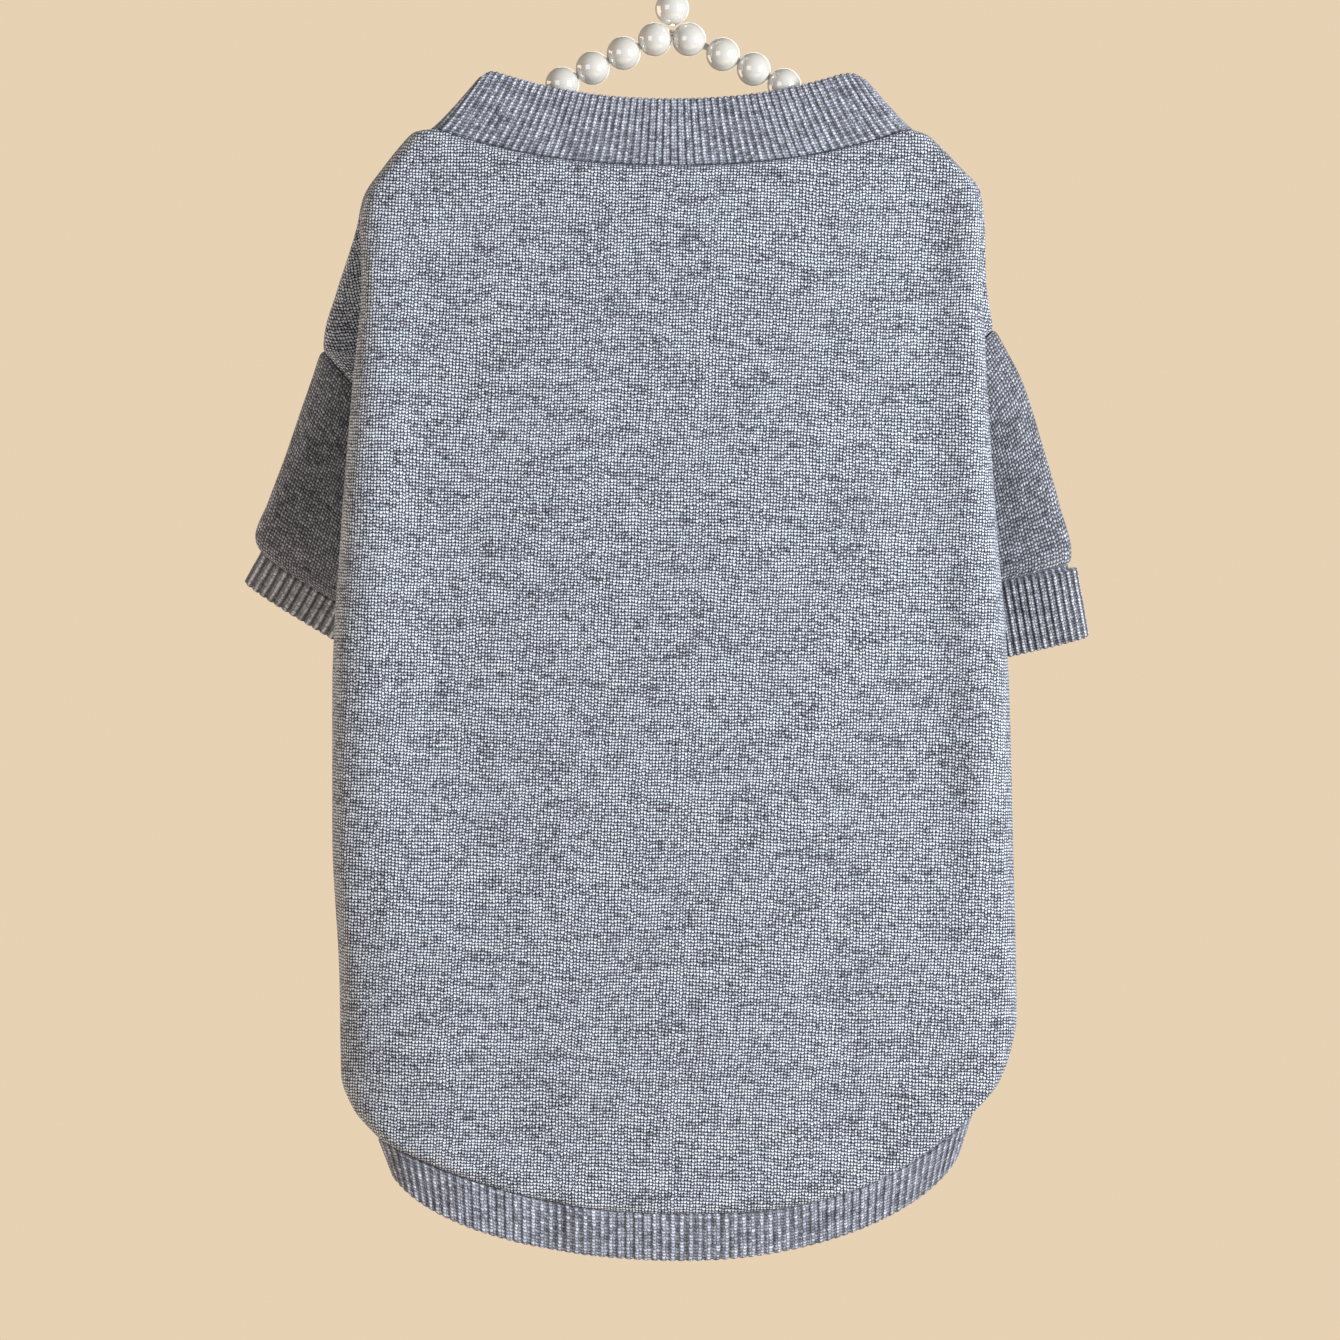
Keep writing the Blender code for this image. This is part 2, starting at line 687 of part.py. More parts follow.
def add_garment(collection):
    half = SEAM / 2
    back = [[back_point(c, v, half) for c in BACK_COLUMNS] for v in BODY_LEVELS]
    add_cloth("back_panel", back, JERSEY, "jersey", collection)
    belly_columns = mirrored(BELLY_COLUMNS)
    belly = [[belly_point(c, v, half) for c in belly_columns] for v in BODY_LEVELS]
    add_cloth("belly_panel", belly, JERSEY, "jersey", collection, flip=True)
    bands = {"closed": True, "collection": collection}
    add_cloth("neck_band", neck_band_rows(), RIB, "rib", flip=True, **bands)
    add_cloth("hem_band", hem_band_rows(), RIB, "rib", **bands)
    for side, word in ((-1, "left"), (1, "right")):
        turned = side > 0
        add_cloth(f"sleeve_{word}", sleeve_rows(side), JERSEY, "jersey", flip=turned, **bands)
        add_cloth(f"cuff_{word}", cuff_rows(side), RIB, "rib", flip=turned, **bands)


def main():
    for piece in list(bpy.data.objects):
        bpy.data.objects.remove(piece, do_unlink=True)
    collection = bpy.data.collections.new("pet_sweatshirt")
    bpy.context.scene.collection.children.link(collection)
    add_garment(collection)
    add_hanger(collection)


main()
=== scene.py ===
"""Looks of the pet sweatshirt: heather grey fleece knit with rib bands, hung back side out on
a wire hanger strung with pearl beads.

Every cloth piece is a thin shell on the form of its solid. The view and the cloth are given in
millimetres, and MM turns them into the frame's metres. The beads, the floor and the lights are
in metres.
"""

import math
from bisect import bisect_right
from collections import namedtuple

import bpy
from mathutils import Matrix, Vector


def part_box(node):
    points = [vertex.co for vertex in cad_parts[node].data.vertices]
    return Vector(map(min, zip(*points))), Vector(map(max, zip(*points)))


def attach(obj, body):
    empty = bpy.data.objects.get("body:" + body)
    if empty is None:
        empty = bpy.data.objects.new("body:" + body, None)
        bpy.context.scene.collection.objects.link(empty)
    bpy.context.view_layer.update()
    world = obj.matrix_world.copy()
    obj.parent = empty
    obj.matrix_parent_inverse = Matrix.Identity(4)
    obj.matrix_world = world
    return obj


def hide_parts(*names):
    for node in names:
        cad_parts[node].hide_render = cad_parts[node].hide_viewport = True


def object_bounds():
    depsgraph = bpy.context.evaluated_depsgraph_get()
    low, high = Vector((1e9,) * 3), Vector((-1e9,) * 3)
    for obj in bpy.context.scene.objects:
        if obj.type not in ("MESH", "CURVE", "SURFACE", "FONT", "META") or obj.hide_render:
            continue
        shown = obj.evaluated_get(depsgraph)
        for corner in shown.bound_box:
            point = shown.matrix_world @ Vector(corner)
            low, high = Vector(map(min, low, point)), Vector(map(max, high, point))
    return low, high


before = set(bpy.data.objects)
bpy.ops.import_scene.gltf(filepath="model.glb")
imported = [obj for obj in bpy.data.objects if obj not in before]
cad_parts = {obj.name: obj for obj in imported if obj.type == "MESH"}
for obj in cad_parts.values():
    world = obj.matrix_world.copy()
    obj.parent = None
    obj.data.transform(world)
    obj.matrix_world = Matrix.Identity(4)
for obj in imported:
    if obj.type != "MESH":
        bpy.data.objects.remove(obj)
cad_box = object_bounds()

# ---- The view ----
# A long lens, square to the garment's back and level with its middle. The hook runs out of the
# top of the view, as it hangs from a rail that isn't shown.
MM = 0.001
VIEW_WIDE = 394.1  # what the view takes in, at the near face
VIEW_AWAY = 2000.0  # from the lens to the near face
VIEW_RIGHT = -0.6  # the view's middle, to the right of the hook
NEAR_FACE = -10.0
BELOW_HEM = 23.1  # clear space under the garment
FILM = 36.0
CLEAR_FROM, CLEAR_TO = 50.0, 50000.0  # how near and how far the lens sees


def place_object(name, data):
    """A new object in the scene, of a mesh, a light or a camera."""
    made = bpy.data.objects.new(name, data)
    bpy.context.scene.collection.objects.link(made)
    return made


view = place_object("view", bpy.data.cameras.new("view"))
view.data.sensor_width = FILM
view.data.lens = FILM * VIEW_AWAY / VIEW_WIDE
view.data.clip_start, view.data.clip_end = CLEAR_FROM * MM, CLEAR_TO * MM
view_height = cad_box[0].z / MM - BELOW_HEM + VIEW_WIDE / 2
view.location = Vector((VIEW_RIGHT, NEAR_FACE - VIEW_AWAY, view_height)) * MM
view.rotation_euler = (math.pi / 2, 0, 0)
bpy.context.scene.camera = view
bpy.context.scene.view_settings.view_transform = "Standard"

# ---- The back panel ----
# One piece of fleece-backed jersey. It shows as the whole near face, folds softly round both
# sides of the body and ends at the shoulder, armhole and side seams behind. Knitted from
# heather yarn, with the wales running down the garment, and lightly brushed.
JERSEY_WALL = 1.7
SEAM = 0.3  # between sewn pieces
SEAM_SHOWN = 0.14  # and where their edges are pressed together
TURNED_UNDER = 1.1  # width of the cloth that a seam pulls under
NECK_Z = -78.0  # height of the neck points
NECK_DIP_BACK = 11.0
NECK_CURVE = 2.3  # power of the neck seam's curve
BACK_HEM_DROP = 319.5
HEM_CURVE = {-1: 2.05, 1: 2.9}  # power of the hem seam's curve, which is squarer on the right
ARM_LEVEL, UNDERARM_LEVEL = 0.22, 0.42  # shares of a side line where the armhole starts and ends
FLAT_SHARE = 0.70  # columns up to here are the flat of the near face, then its rounding
FOLD_PRESSED = 0.5  # the side folds are pressed, with this share of the rounding
FOLD_STILL = 18  # power that ends the near face's swells right at a side fold
LOOSE_CORNER, LOOSE_EASE = 0.76, 0.2  # the lower left corner is slack from this level, eased in
HEADING_KEPT = 0.8  # how far a section keeps its heading at either end
SWELL_FADE = 0.25  # share of a swell's length that it fades over, inside and past each end
RIPPLE_REACH = 16.0  # how far up from the hem seam its ripples run
WALE, COURSE = 0.94, 0.94  # stitch width and height
STITCH_DEEP = 0.2  # relief of a stitch
JERSEY_LEAN = 0.047  # slope of the wales from the upright
JERSEY_PIT_SHADING = 0.0, 3.0  # painted shade: brightness in the pits between stitches, and what the yarn adds
HEATHER_DARK = (0.118, 0.126, 0.152, 1)
HEATHER_LIGHT = (0.60, 0.66, 0.81, 1)
BRIGHTEST = (0.84, 0.91, 1.0)  # the palest that yarn gets

# a row for each place down a line of the body: how far below the neck points, how far out
# from the middle, how far back, and where the cloth heads there in degrees, 0 outwards, 90
# back and 180 to the middle
Place = namedtuple("Place", "drop out back turn")
FOLD = {
    -1: [
        Place(0.0, 70.4, -4.0, 90),
        Place(0.5, 74.8, -4.0, 90),
        Place(1.5, 76.5, -4.0, 90),
        Place(3.5, 78.3, -4.0, 90),
        Place(11.0, 84.6, -4.3, 90),
        Place(20.0, 90.3, -5.0, 90),
        Place(30.0, 91.8, -6.0, 90),
        Place(45.0, 91.5, -7.0, 90),
        Place(75.0, 94.1, -6.5, 90),
        Place(115.0, 97.4, -4.5, 90),
        Place(167.0, 100.3, -2.5, 90),
        Place(207.0, 100.3, -2.5, 90),
        Place(250.0, 98.2, -2.5, 90),
        Place(279.0, 97.7, -2.5, 90),
        Place(289.0, 94.1, -2.5, 90),
        Place(297.5, 86.8, -2.5, 90),
    ],
    1: [
        Place(0.0, 70.3, -4.0, 90),
        Place(1.5, 74.6, -4.0, 90),
        Place(3.5, 77.0, -4.0, 90),
        Place(11.0, 84.4, -4.3, 90),
        Place(18.0, 90.3, -5.0, 90),
        Place(30.0, 91.8, -6.0, 90),
        Place(45.0, 91.7, -6.8, 90),
        Place(76.0, 92.9, -6.5, 90),
        Place(115.0, 95.6, -5.0, 90),
        Place(165.0, 99.5, -2.5, 90),
        Place(207.0, 100.6, -2.5, 90),
        Place(262.0, 101.7, -2.5, 90),
        Place(270.5, 100.3, -2.5, 90),
        Place(281.0, 96.6, -2.5, 90),
        Place(290.0, 88.8, -2.5, 90),
    ],
}
CREASE = {
    -1: [
        Place(0.0, 71.0, -2.0, 90),
        Place(0.5, 75.4, -2.0, 90),
        Place(1.5, 77.1, -2.0, 90),
        Place(3.5, 78.9, -2.0, 90),
        Place(11.0, 85.1, -2.2, 90),
        Place(20.0, 90.9, -2.6, 90),
        Place(29.0, 92.0, -3.3, 90),
        Place(38.0, 89.6, -4.0, 90),
        Place(65.0, 87.0, -3.2, 90),
        Place(76.0, 83.0, -2.4, 92),
        Place(90.0, 73.0, -1.2, 100),
        Place(104.0, 66.5, -0.2, 110),
        Place(110.0, 66.3, 1.2, 125),
        Place(116.0, 65.8, 5.0, 150),
        Place(128.0, 64.5, 8.0, 170),
        Place(170.0, 63.0, 9.0, 180),
        Place(272.5, 63.0, 7.0, 180),
    ],
    1: [
        Place(0.0, 70.9, -2.0, 90),
        Place(1.5, 75.1, -2.0, 90),
        Place(3.5, 77.5, -2.0, 90),
        Place(11.0, 84.9, -2.2, 90),
        Place(18.0, 90.7, -2.6, 90),
        Place(30.0, 91.9, -3.3, 90),
        Place(42.0, 91.2, -4.0, 90),
        Place(59.0, 89.8, -3.6, 90),
        Place(70.0, 80.0, -2.4, 92),
        Place(84.0, 71.5, -1.2, 100),
        Place(96.0, 66.5, -0.2, 110),
        Place(102.0, 66.3, 1.2, 125),
        Place(108.0, 65.8, 5.0, 150),
        Place(120.0, 64.5, 8.0, 170),
        Place(165.0, 63.0, 9.0, 180),
        Place(269.0, 63.0, 7.0, 180),
    ],
}
SHOULDER = {
    -1: [
        Place(0.0, 71.3, 0.0, 90),
        Place(0.5, 75.7, 0.0, 90),
        Place(1.5, 77.4, 0.0, 90),
        Place(3.5, 79.3, 0.0, 90),
        Place(11.0, 85.3, 0.0, 90),
        Place(20.0, 91.3, 0.0, 90),
        Place(29.0, 93.3, 0.4, 90),
        Place(48.0, 99.4, 2.4, 90),
        Place(60.0, 102.9, 3.3, 90),
        Place(64.9, 103.3, 3.2, 90),
    ],
    1: [
        Place(0.0, 71.2, 0.0, 90),
        Place(1.5, 75.5, 0.0, 90),
        Place(3.5, 77.9, 0.0, 90),
        Place(11.0, 85.2, 0.0, 90),
        Place(18.0, 91.1, 0.0, 90),
        Place(30.0, 92.5, 0.0, 90),
        Place(43.0, 92.8, 1.2, 90),
        Place(58.7, 95.0, 2.2, 90),
    ],
}
# far: how far back the armhole's other half lies, on the belly panel
Armhole = namedtuple("Armhole", "drop out back turn far")
ARMHOLE = {
    -1: [
        Armhole(64.9, 103.3, 3.2, 90, 5.2),
        Armhole(68.0, 100.6, 1.0, 50, 7.0),
        Armhole(75.0, 94.3, -0.2, 25, 8.6),
        Armhole(90.0, 79.5, 1.4, 25, 9.8),
        Armhole(104.0, 68.0, 3.0, 60, 10.4),
        Armhole(109.5, 64.5, 4.0, 95, 10.2),
        Armhole(112.0, 62.5, 5.2, 130, 9.4),
        Armhole(114.0, 60.0, 7.2, 170, 7.2),
    ],
    1: [
        Armhole(58.7, 95.0, 2.2, 90, 4.2),
        Armhole(61.0, 92.6, 0.4, 50, 6.6),
        Armhole(70.0, 84.5, 0.0, 25, 8.6),
        Armhole(84.0, 75.0, 1.6, 30, 9.8),
        Armhole(96.0, 67.6, 3.0, 60, 10.4),
        Armhole(101.5, 64.4, 4.0, 95, 10.2),
        Armhole(104.0, 62.5, 5.2, 130, 9.4),
        Armhole(106.0, 60.0, 7.2, 170, 7.2),
    ],
}
SIDE_SEAM = {
    -1: [
        Place(114.0, 60.0, 7.2, 170),
        Place(126.0, 60.0, 8.6, 180),
        Place(165.0, 60.0, 9.2, 180),
        Place(270.0, 60.0, 7.2, 180),
    ],
    1: [
        Place(106.0, 60.0, 7.2, 170),
        Place(118.0, 60.0, 8.6, 180),
        Place(160.0, 60.0, 9.2, 180),
        Place(267.0, 60.0, 7.2, 180),
    ],
}
# level: share of the way from neck seam to hem seam. near, far: where the middle of the back
# and of the belly lie. crown: how much farther back the near face lies at the ends of its
# flat. rounding: width of a side fold before it is pressed.
Depth = namedtuple("Depth", "level near crown rounding far")
DEPTHS = [
    Depth(0.00, -8.8, 0.4, 7.0, 8.4),
    Depth(0.05, -9.6, 0.6, 7.5, 8.6),
    Depth(0.22, -12.0, 1.4, 8.0, 9.6),
    Depth(0.50, -13.2, 1.6, 9.5, 10.4),
    Depth(0.80, -12.6, 1.4, 9.5, 9.4),
    Depth(1.00, -10.8, 1.0, 8.5, 8.0),
]
# soft rolls (high above nought) and troughs (below) that run down the near face. lean: how far
# to the right its lower end lies from its upper one.
Swell = namedtuple("Swell", "out top bottom lean wide high")
BACK_SWELLS = [
    Swell(-86.5, 30, 280, -3.0, 15.0, 3.0),
    Swell(-89.0, 30, 200, -4.0, 6.0, 0.9),
    Swell(86.5, 12, 210, 3.5, 6.0, 1.6),
    Swell(76.0, 14, 215, 3.0, 9.0, -1.2),
    Swell(90.0, 190, 290, 3.0, 9.0, 0.55),
    Swell(-71.0, 225, 330, 7.0, 15.0, 1.7),
    Swell(-99.0, 258, 345, 9.0, 9.0, -3.4),
    Swell(30.0, 60, 200, -9.0, 20.0, 0.4),
    Swell(-20.0, 20, 120, 12.0, 16.0, -0.4),
    Swell(55.0, 170, 310, -6.0, 18.0, -0.4),
]
# short ripples where the back panel is eased onto the hem band: where along it, how high
Ripple = namedtuple("Ripple", "out wide high")
HEM_RIPPLES = [
    Ripple(-61.0, 5.0, 0.30),
    Ripple(-47.0, 4.2, 0.75),
    Ripple(-36.0, 3.6, -0.45),
    Ripple(-27.5, 4.4, 0.70),
    Ripple(-17.0, 4.0, -0.30),
    Ripple(-6.0, 5.0, 0.25),
    Ripple(24.0, 6.0, 0.22),
    Ripple(41.0, 5.0, -0.20),
    Ripple(58.0, 6.0, 0.22),
]


def slope_at(spots, values, i):
    """The slope of a smooth curve at one row, flat where the values turn back."""
    before = (values[i] - values[i - 1]) / (spots[i] - spots[i - 1]) if i else None
    after = None
    if i + 1 < len(spots):
        after = (values[i + 1] - values[i]) / (spots[i + 1] - spots[i])
    if before is None or after is None:
        return after if before is None else before
    if before * after <= 0:
        return 0.0
    return 2 * before * after / (before + after)


def between(table, spot):
    """A table's row at any spot down its first column, smoothly between its rows."""
    spots = [row[0] for row in table]
    spot = min(max(spot, spots[0]), spots[-1])
    i = max(j for j in range(len(spots) - 1) if spots[j] <= spot)
    gap = spots[i + 1] - spots[i]
    t = (spot - spots[i]) / gap
    row = [spot]
    for values in list(zip(*table))[1:]:
        start, end = values[i], values[i + 1]
        rise, run = slope_at(spots, values, i) * gap, slope_at(spots, values, i + 1) * gap
        bow = t * (1 - t) * ((1 - t) * (rise - (end - start)) - t * (run - (end - start)))
        row.append(start + (end - start) * t + bow)
    return type(table[0])(*row)


def drop_at(level, arm, underarm, bottom):
    """The drop at a level of a side line, with its armhole between the same two levels."""
    stations = ((0, 0), (ARM_LEVEL, arm), (UNDERARM_LEVEL, underarm), (1, bottom))
    for (low, start), (high, end) in zip(stations, stations[1:]):
        if level <= high:
            return start + (end - start) * (level - low) / (high - low)
    return bottom


def edge_at(side, level):
    """The back panel's edge: down the shoulder seam, the armhole and the side seam."""
    arm, underarm = ARMHOLE[side][0].drop, ARMHOLE[side][-1].drop
    drop = drop_at(level, arm, underarm, SIDE_SEAM[side][-1].drop)
    if level <= ARM_LEVEL:
        return between(SHOULDER[side], drop)
    if level <= UNDERARM_LEVEL:
        return between(ARMHOLE[side], drop)
    return between(SIDE_SEAM[side], drop)


def crease_at(side, level):
    """The crease between a side fold and the sewn edge. It passes just under the armhole."""
    arm, under = ARMHOLE[side][0].drop, ARMHOLE[side][-1].drop + 1
    return between(CREASE[side], drop_at(level, arm, under, CREASE[side][-1].drop))


def heading(place):
    """The direction of a section at a place, as distances out and back."""
    turn = math.radians(place.turn)
    return math.cos(turn), math.sin(turn)


def swing(start, end, t):
    """A point on the curve that leaves one place and arrives at another by their turns."""
    (out_a, back_a), (out_b, back_b) = heading(start), heading(end)
    across, deep = abs(end.out - start.out), abs(end.back - start.back)
    pull_a = HEADING_KEPT * (abs(out_a) * across + abs(back_a) * deep)
    pull_b = HEADING_KEPT * (abs(out_b) * across + abs(back_b) * deep)
    a, b, c, d = (1 - t) ** 3, 3 * (1 - t) ** 2 * t, 3 * (1 - t) * t**2, t**3
    out = a * start.out + b * (start.out + pull_a * out_a)
    out += c * (end.out - pull_b * out_b) + d * end.out
    back = a * start.back + b * (start.back + pull_a * back_a)
    back += c * (end.back - pull_b * back_b) + d * end.back
    return out, back, start.drop + (end.drop - start.drop) * t


def quarter(t, flat, width, height, start):
    """A rounded corner after a flat: out and back at t from 0 to 1."""
    angle = t * math.pi / 2
    return flat + width * math.sin(angle), start + height * (1 - math.cos(angle))


def near_drop(side, share, level):
    """How far down a point of the near face lies, from the neck seam to the hem seam."""
    top = NECK_DIP_BACK * (1 - share**NECK_CURVE)
    rise = BACK_HEM_DROP - FOLD[side][-1].drop
    bottom = BACK_HEM_DROP - rise * share ** HEM_CURVE[side]
    return top + (bottom - top) * level


def clamped(value):
    """The value, kept from 0 to 1."""
    return min(1, max(0, value))


def eased(share):
    """A share from 0 to 1, made to start and end softly."""
    return share * share * (3 - 2 * share)


def hump(distance, wide):
    """A smooth bell, 1 at its middle and next to nothing at two widths away."""
    return math.exp(-((distance / wide) ** 2))


def swell_at(swells, out, drop):
    """How far the soft rolls and troughs lift the cloth at a point."""
    lift = 0.0
    for swell in swells:
        t = (drop - swell.top) / (swell.bottom - swell.top)
        to_end = min(t, 1 - t) + SWELL_FADE
        if to_end > 0:
            height = swell.high * eased(clamped(to_end / (2 * SWELL_FADE)))
            lift += height * hump(out - swell.out - swell.lean * t, swell.wide)
    return lift


def seam_lift(distance, puff=0.45, reach=2.6, tuck=0.75):
    """Cloth beside a seam: turned under right at it, and a little puffed next to it."""
    turned = max(0, 1 - distance / TURNED_UNDER)
    return puff * (distance / reach) * math.exp(1 - distance / reach) - tuck * turned * turned


def back_lift(out, drop, top, bottom):
    """How far the near face stands out from its solid's form at a point."""
    lift = swell_at(BACK_SWELLS, out, drop)
    lift += seam_lift(drop - top) + seam_lift(bottom - drop, puff=0.9, reach=3.6, tuck=0.5)
    reach = max(0, 1 - (bottom - drop) / RIPPLE_REACH)
    for ripple in HEM_RIPPLES:
        lift += ripple.high * reach * reach * hump(out - ripple.out, ripple.wide)
    return lift


def evenly(start, end, count):
    """Spots from start to end in equal steps, leaving the start out."""
    return [start + (end - start) * (k + 1) / count for k in range(count)]


def mirrored(columns):
    """The same columns on both sides of the middle."""
    return [-c for c in reversed(columns) if c] + list(columns)


# rows lie closer together next to the neck seam and the hem seam, where the cloth turns under
SEAM_ROWS = [0, 0.0009, 0.002, 0.0036, 0.0058, 0.0088, 0.0125, 0.017]
BODY_LEVELS = SEAM_ROWS + evenly(SEAM_ROWS[-1], 1 - SEAM_ROWS[-1], 184)
BODY_LEVELS += [1 - level for level in reversed(SEAM_ROWS[:-1])]
# column 0 is the panel's middle, 1 the side fold, 2 the crease behind it and 3 the sewn edge,
# negative on the left
NEAR_COLUMNS = [0] + evenly(0, FLAT_SHARE, 42) + evenly(FLAT_SHARE, 1, 14)
BACK_COLUMNS = mirrored(NEAR_COLUMNS + evenly(1, 2, 16) + evenly(2, 3, 9))


def back_row(level, trim=0.0):
    """A row of the back panel. trim is taken off its sewn edges."""
    depth = between(DEPTHS, level)
    places = {}
    for side in (-1, 1):
        fold = between(FOLD[side], level * FOLD[side][-1].drop)
        edge = edge_at(side, level)
        ahead = heading(edge)
        edge = edge._replace(out=edge.out - trim * ahead[0], back=edge.back - trim * ahead[1])
        places[side] = fold, crease_at(side, level), edge
    row = []
    for column in BACK_COLUMNS:
        side, q = (-1 if column < 0 else 1), abs(column)
        fold, crease, edge = places[side]
        if q <= 1:
            slack = eased(clamped((level - LOOSE_CORNER) / LOOSE_EASE)) if side < 0 else 0
            rounding = depth.rounding * (FOLD_PRESSED + (1 - FOLD_PRESSED) * slack)
            flat = fold.out - rounding
            if q <= FLAT_SHARE:
                out = flat * q / FLAT_SHARE
                back = depth.near + depth.crown * (out / flat) ** 2
            else:
                turn = (q - FLAT_SHARE) / (1 - FLAT_SHARE)
                start = depth.near + depth.crown
                out, back = quarter(turn, flat, rounding, fold.back - start, start)
            share = out / fold.out
            drop = near_drop(side, share, level)
            top, bottom = near_drop(side, share, 0), near_drop(side, share, 1)
            back -= back_lift(side * out, drop, top, bottom) * (1 - share**FOLD_STILL)
        elif q <= 2:
            out, back, drop = swing(fold, crease, q - 1)
        else:
            out, back, drop = swing(crease, edge, q - 2)
        row.append(Vector((side * out, back, NECK_Z - drop)))
    return row


def lengths_along(row, closed=False):
    """How far each point lies along a row, without its up and down."""
    reached = [0.0]
    following = row[1:] + row[:1] if closed else row[1:]
    for start, end in zip(row, following):
        reached.append(reached[-1] + math.hypot(end.x - start.x, end.y - start.y))
    return reached


def flat_places(rows):
    """Where each point of open rows lies on the flat cloth, measured along its row and along
    its column from the piece's middle."""
    middle_row, middle = len(rows) // 2, len(rows[0]) // 2
    heights = []
    for column in zip(*rows):
        down = [0.0]
        for above, below in zip(column, column[1:]):
            down.append(down[-1] + math.hypot(below.y - above.y, below.z - above.z))
        heights.append([column[middle_row].z + down[middle_row] - far for far in down])
    across = [lengths_along(row) for row in rows]
    return [
        [(reached[c] - reached[middle], heights[c][r]) for c in range(len(reached))]
        for r, reached in enumerate(across)
    ]


def add_shell(name, rows, cloth, wall=0.0, closed=False, flip=False, looped=False):
    """A mesh through rows of points, with the place of each point on the flat cloth in its
    UV map. wall thickens it inwards; closed joins each row's ends and looped the last row to
    the first."""
    count, row_count = len(rows[0]), len(rows)
    faces, spots = [], []
    for r in range(row_count if looped else row_count - 1):
        below = (r + 1) % row_count
        for c in range(count if closed else count - 1):
            following = (c + 1) % count
            corners = [r * count + c, below * count + c]
            corners += [below * count + following, r * count + following]
            places = [cloth[r][c], cloth[r + 1][c], cloth[r + 1][c + 1], cloth[r][c + 1]]
            if flip:
                corners.reverse()
                places.reverse()
            faces.append(corners)
            spots += places
    mesh = bpy.data.meshes.new(name)
    mesh.from_pydata([point * MM for row in rows for point in row], [], faces)
    layer = mesh.uv_layers.new(name="cloth")
    layer.data.foreach_set("uv", [value * MM for spot in spots for value in spot])
    mesh.shade_smooth()
    piece = place_object(name, mesh)
    if wall:
        thicken = piece.modifiers.new("wall", "SOLIDIFY")
        thicken.thickness = wall * MM
        thicken.offset = -1
    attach(piece, "root")
    return piece


def fill_inputs(tree, node, inputs):
    """Links each input that is given a socket, and sets each that is given a value."""
    for name, value in inputs.items():
        if isinstance(value, bpy.types.NodeSocket):
            tree.links.new(value, node.inputs[name])
        else:
            node.inputs[name].default_value = value


def place_node(tree, kind, inputs=None, **settings):
    """A new shader node with its settings and its inputs."""
    made = tree.nodes.new("ShaderNode" + kind)
    for name, value in settings.items():
        setattr(made, name, value)
    fill_inputs(tree, made, inputs or {})
    return made


def maths(tree, operation, first, second=0.0, third=0.0):
    """The result of a sum on up to three numbers or sockets."""
    made = place_node(tree, "Math", {0: first, 1: second, 2: third}, operation=operation)
    return made.outputs[0]


def mixed_colour(tree, share, first, second):
    """A colour some share of the way from one to another."""
    made = place_node(tree, "Mix", {"Factor": share, "A": first, "B": second}, data_type="RGBA")
    return made.outputs["Result"]


def noise(tree, spot, across, along, detail=1.0, offset=0.0):
    """Soft noise from 0 to 1 over the cloth, with blots of a size in mm each way."""
    scaled = place_node(
        tree,
        "Mapping",
        {"Vector": spot, "Location": (offset, offset, 0), "Scale": (1 / across, 1 / along, 1)},
    )
    made = place_node(
        tree,
        "TexNoise",
        {"Vector": scaled.outputs[0], "Scale": 1.0, "Detail": detail},
        noise_dimensions="2D",
    )
    return made.outputs[0]


def new_material(name):
    """A material made of nodes, with its node tree and its shader."""
    made = bpy.data.materials.new(name)
    made.use_nodes = True
    return made, made.node_tree, made.node_tree.nodes["Principled BSDF"]


def new_group(name, inputs, outputs):
    """A shader node group with named sockets, and its own input and output sockets."""
    group = bpy.data.node_groups.new(name, "ShaderNodeTree")
    for label, kind, value in inputs:
        socket = group.interface.new_socket(label, in_out="INPUT", socket_type=kind)
        if value is not None:
            socket.default_value = value
    for label, kind in outputs:
        group.interface.new_socket(label, in_out="OUTPUT", socket_type=kind)
    taken = group.nodes.new("NodeGroupInput").outputs
    given = group.nodes.new("NodeGroupOutput").inputs
    return group, taken, given


# how the knit is drawn, in stitches unless it says otherwise
WANDER = 1.6, -2.2  # how far it wanders over a panel, across and along, in mm
STRAY = 0.65  # how far one stitch strays from its place
STAGGER = 0.35  # how far one wale starts above or below the next
CLIMB = 0.34  # how much higher the outer ends of a V are than its middle
LEG_OUT = 0.35  # sets how far out from the middle of its V a leg stands
LOOP_SHARP, LEG_SHARP, PIT_SHARP = 1.7, 1.5, 3.7  # powers that narrow the yarn and open the pits, with their painted shade
YARN_FULL = 0.4  # power that fills out the yarn's relief again


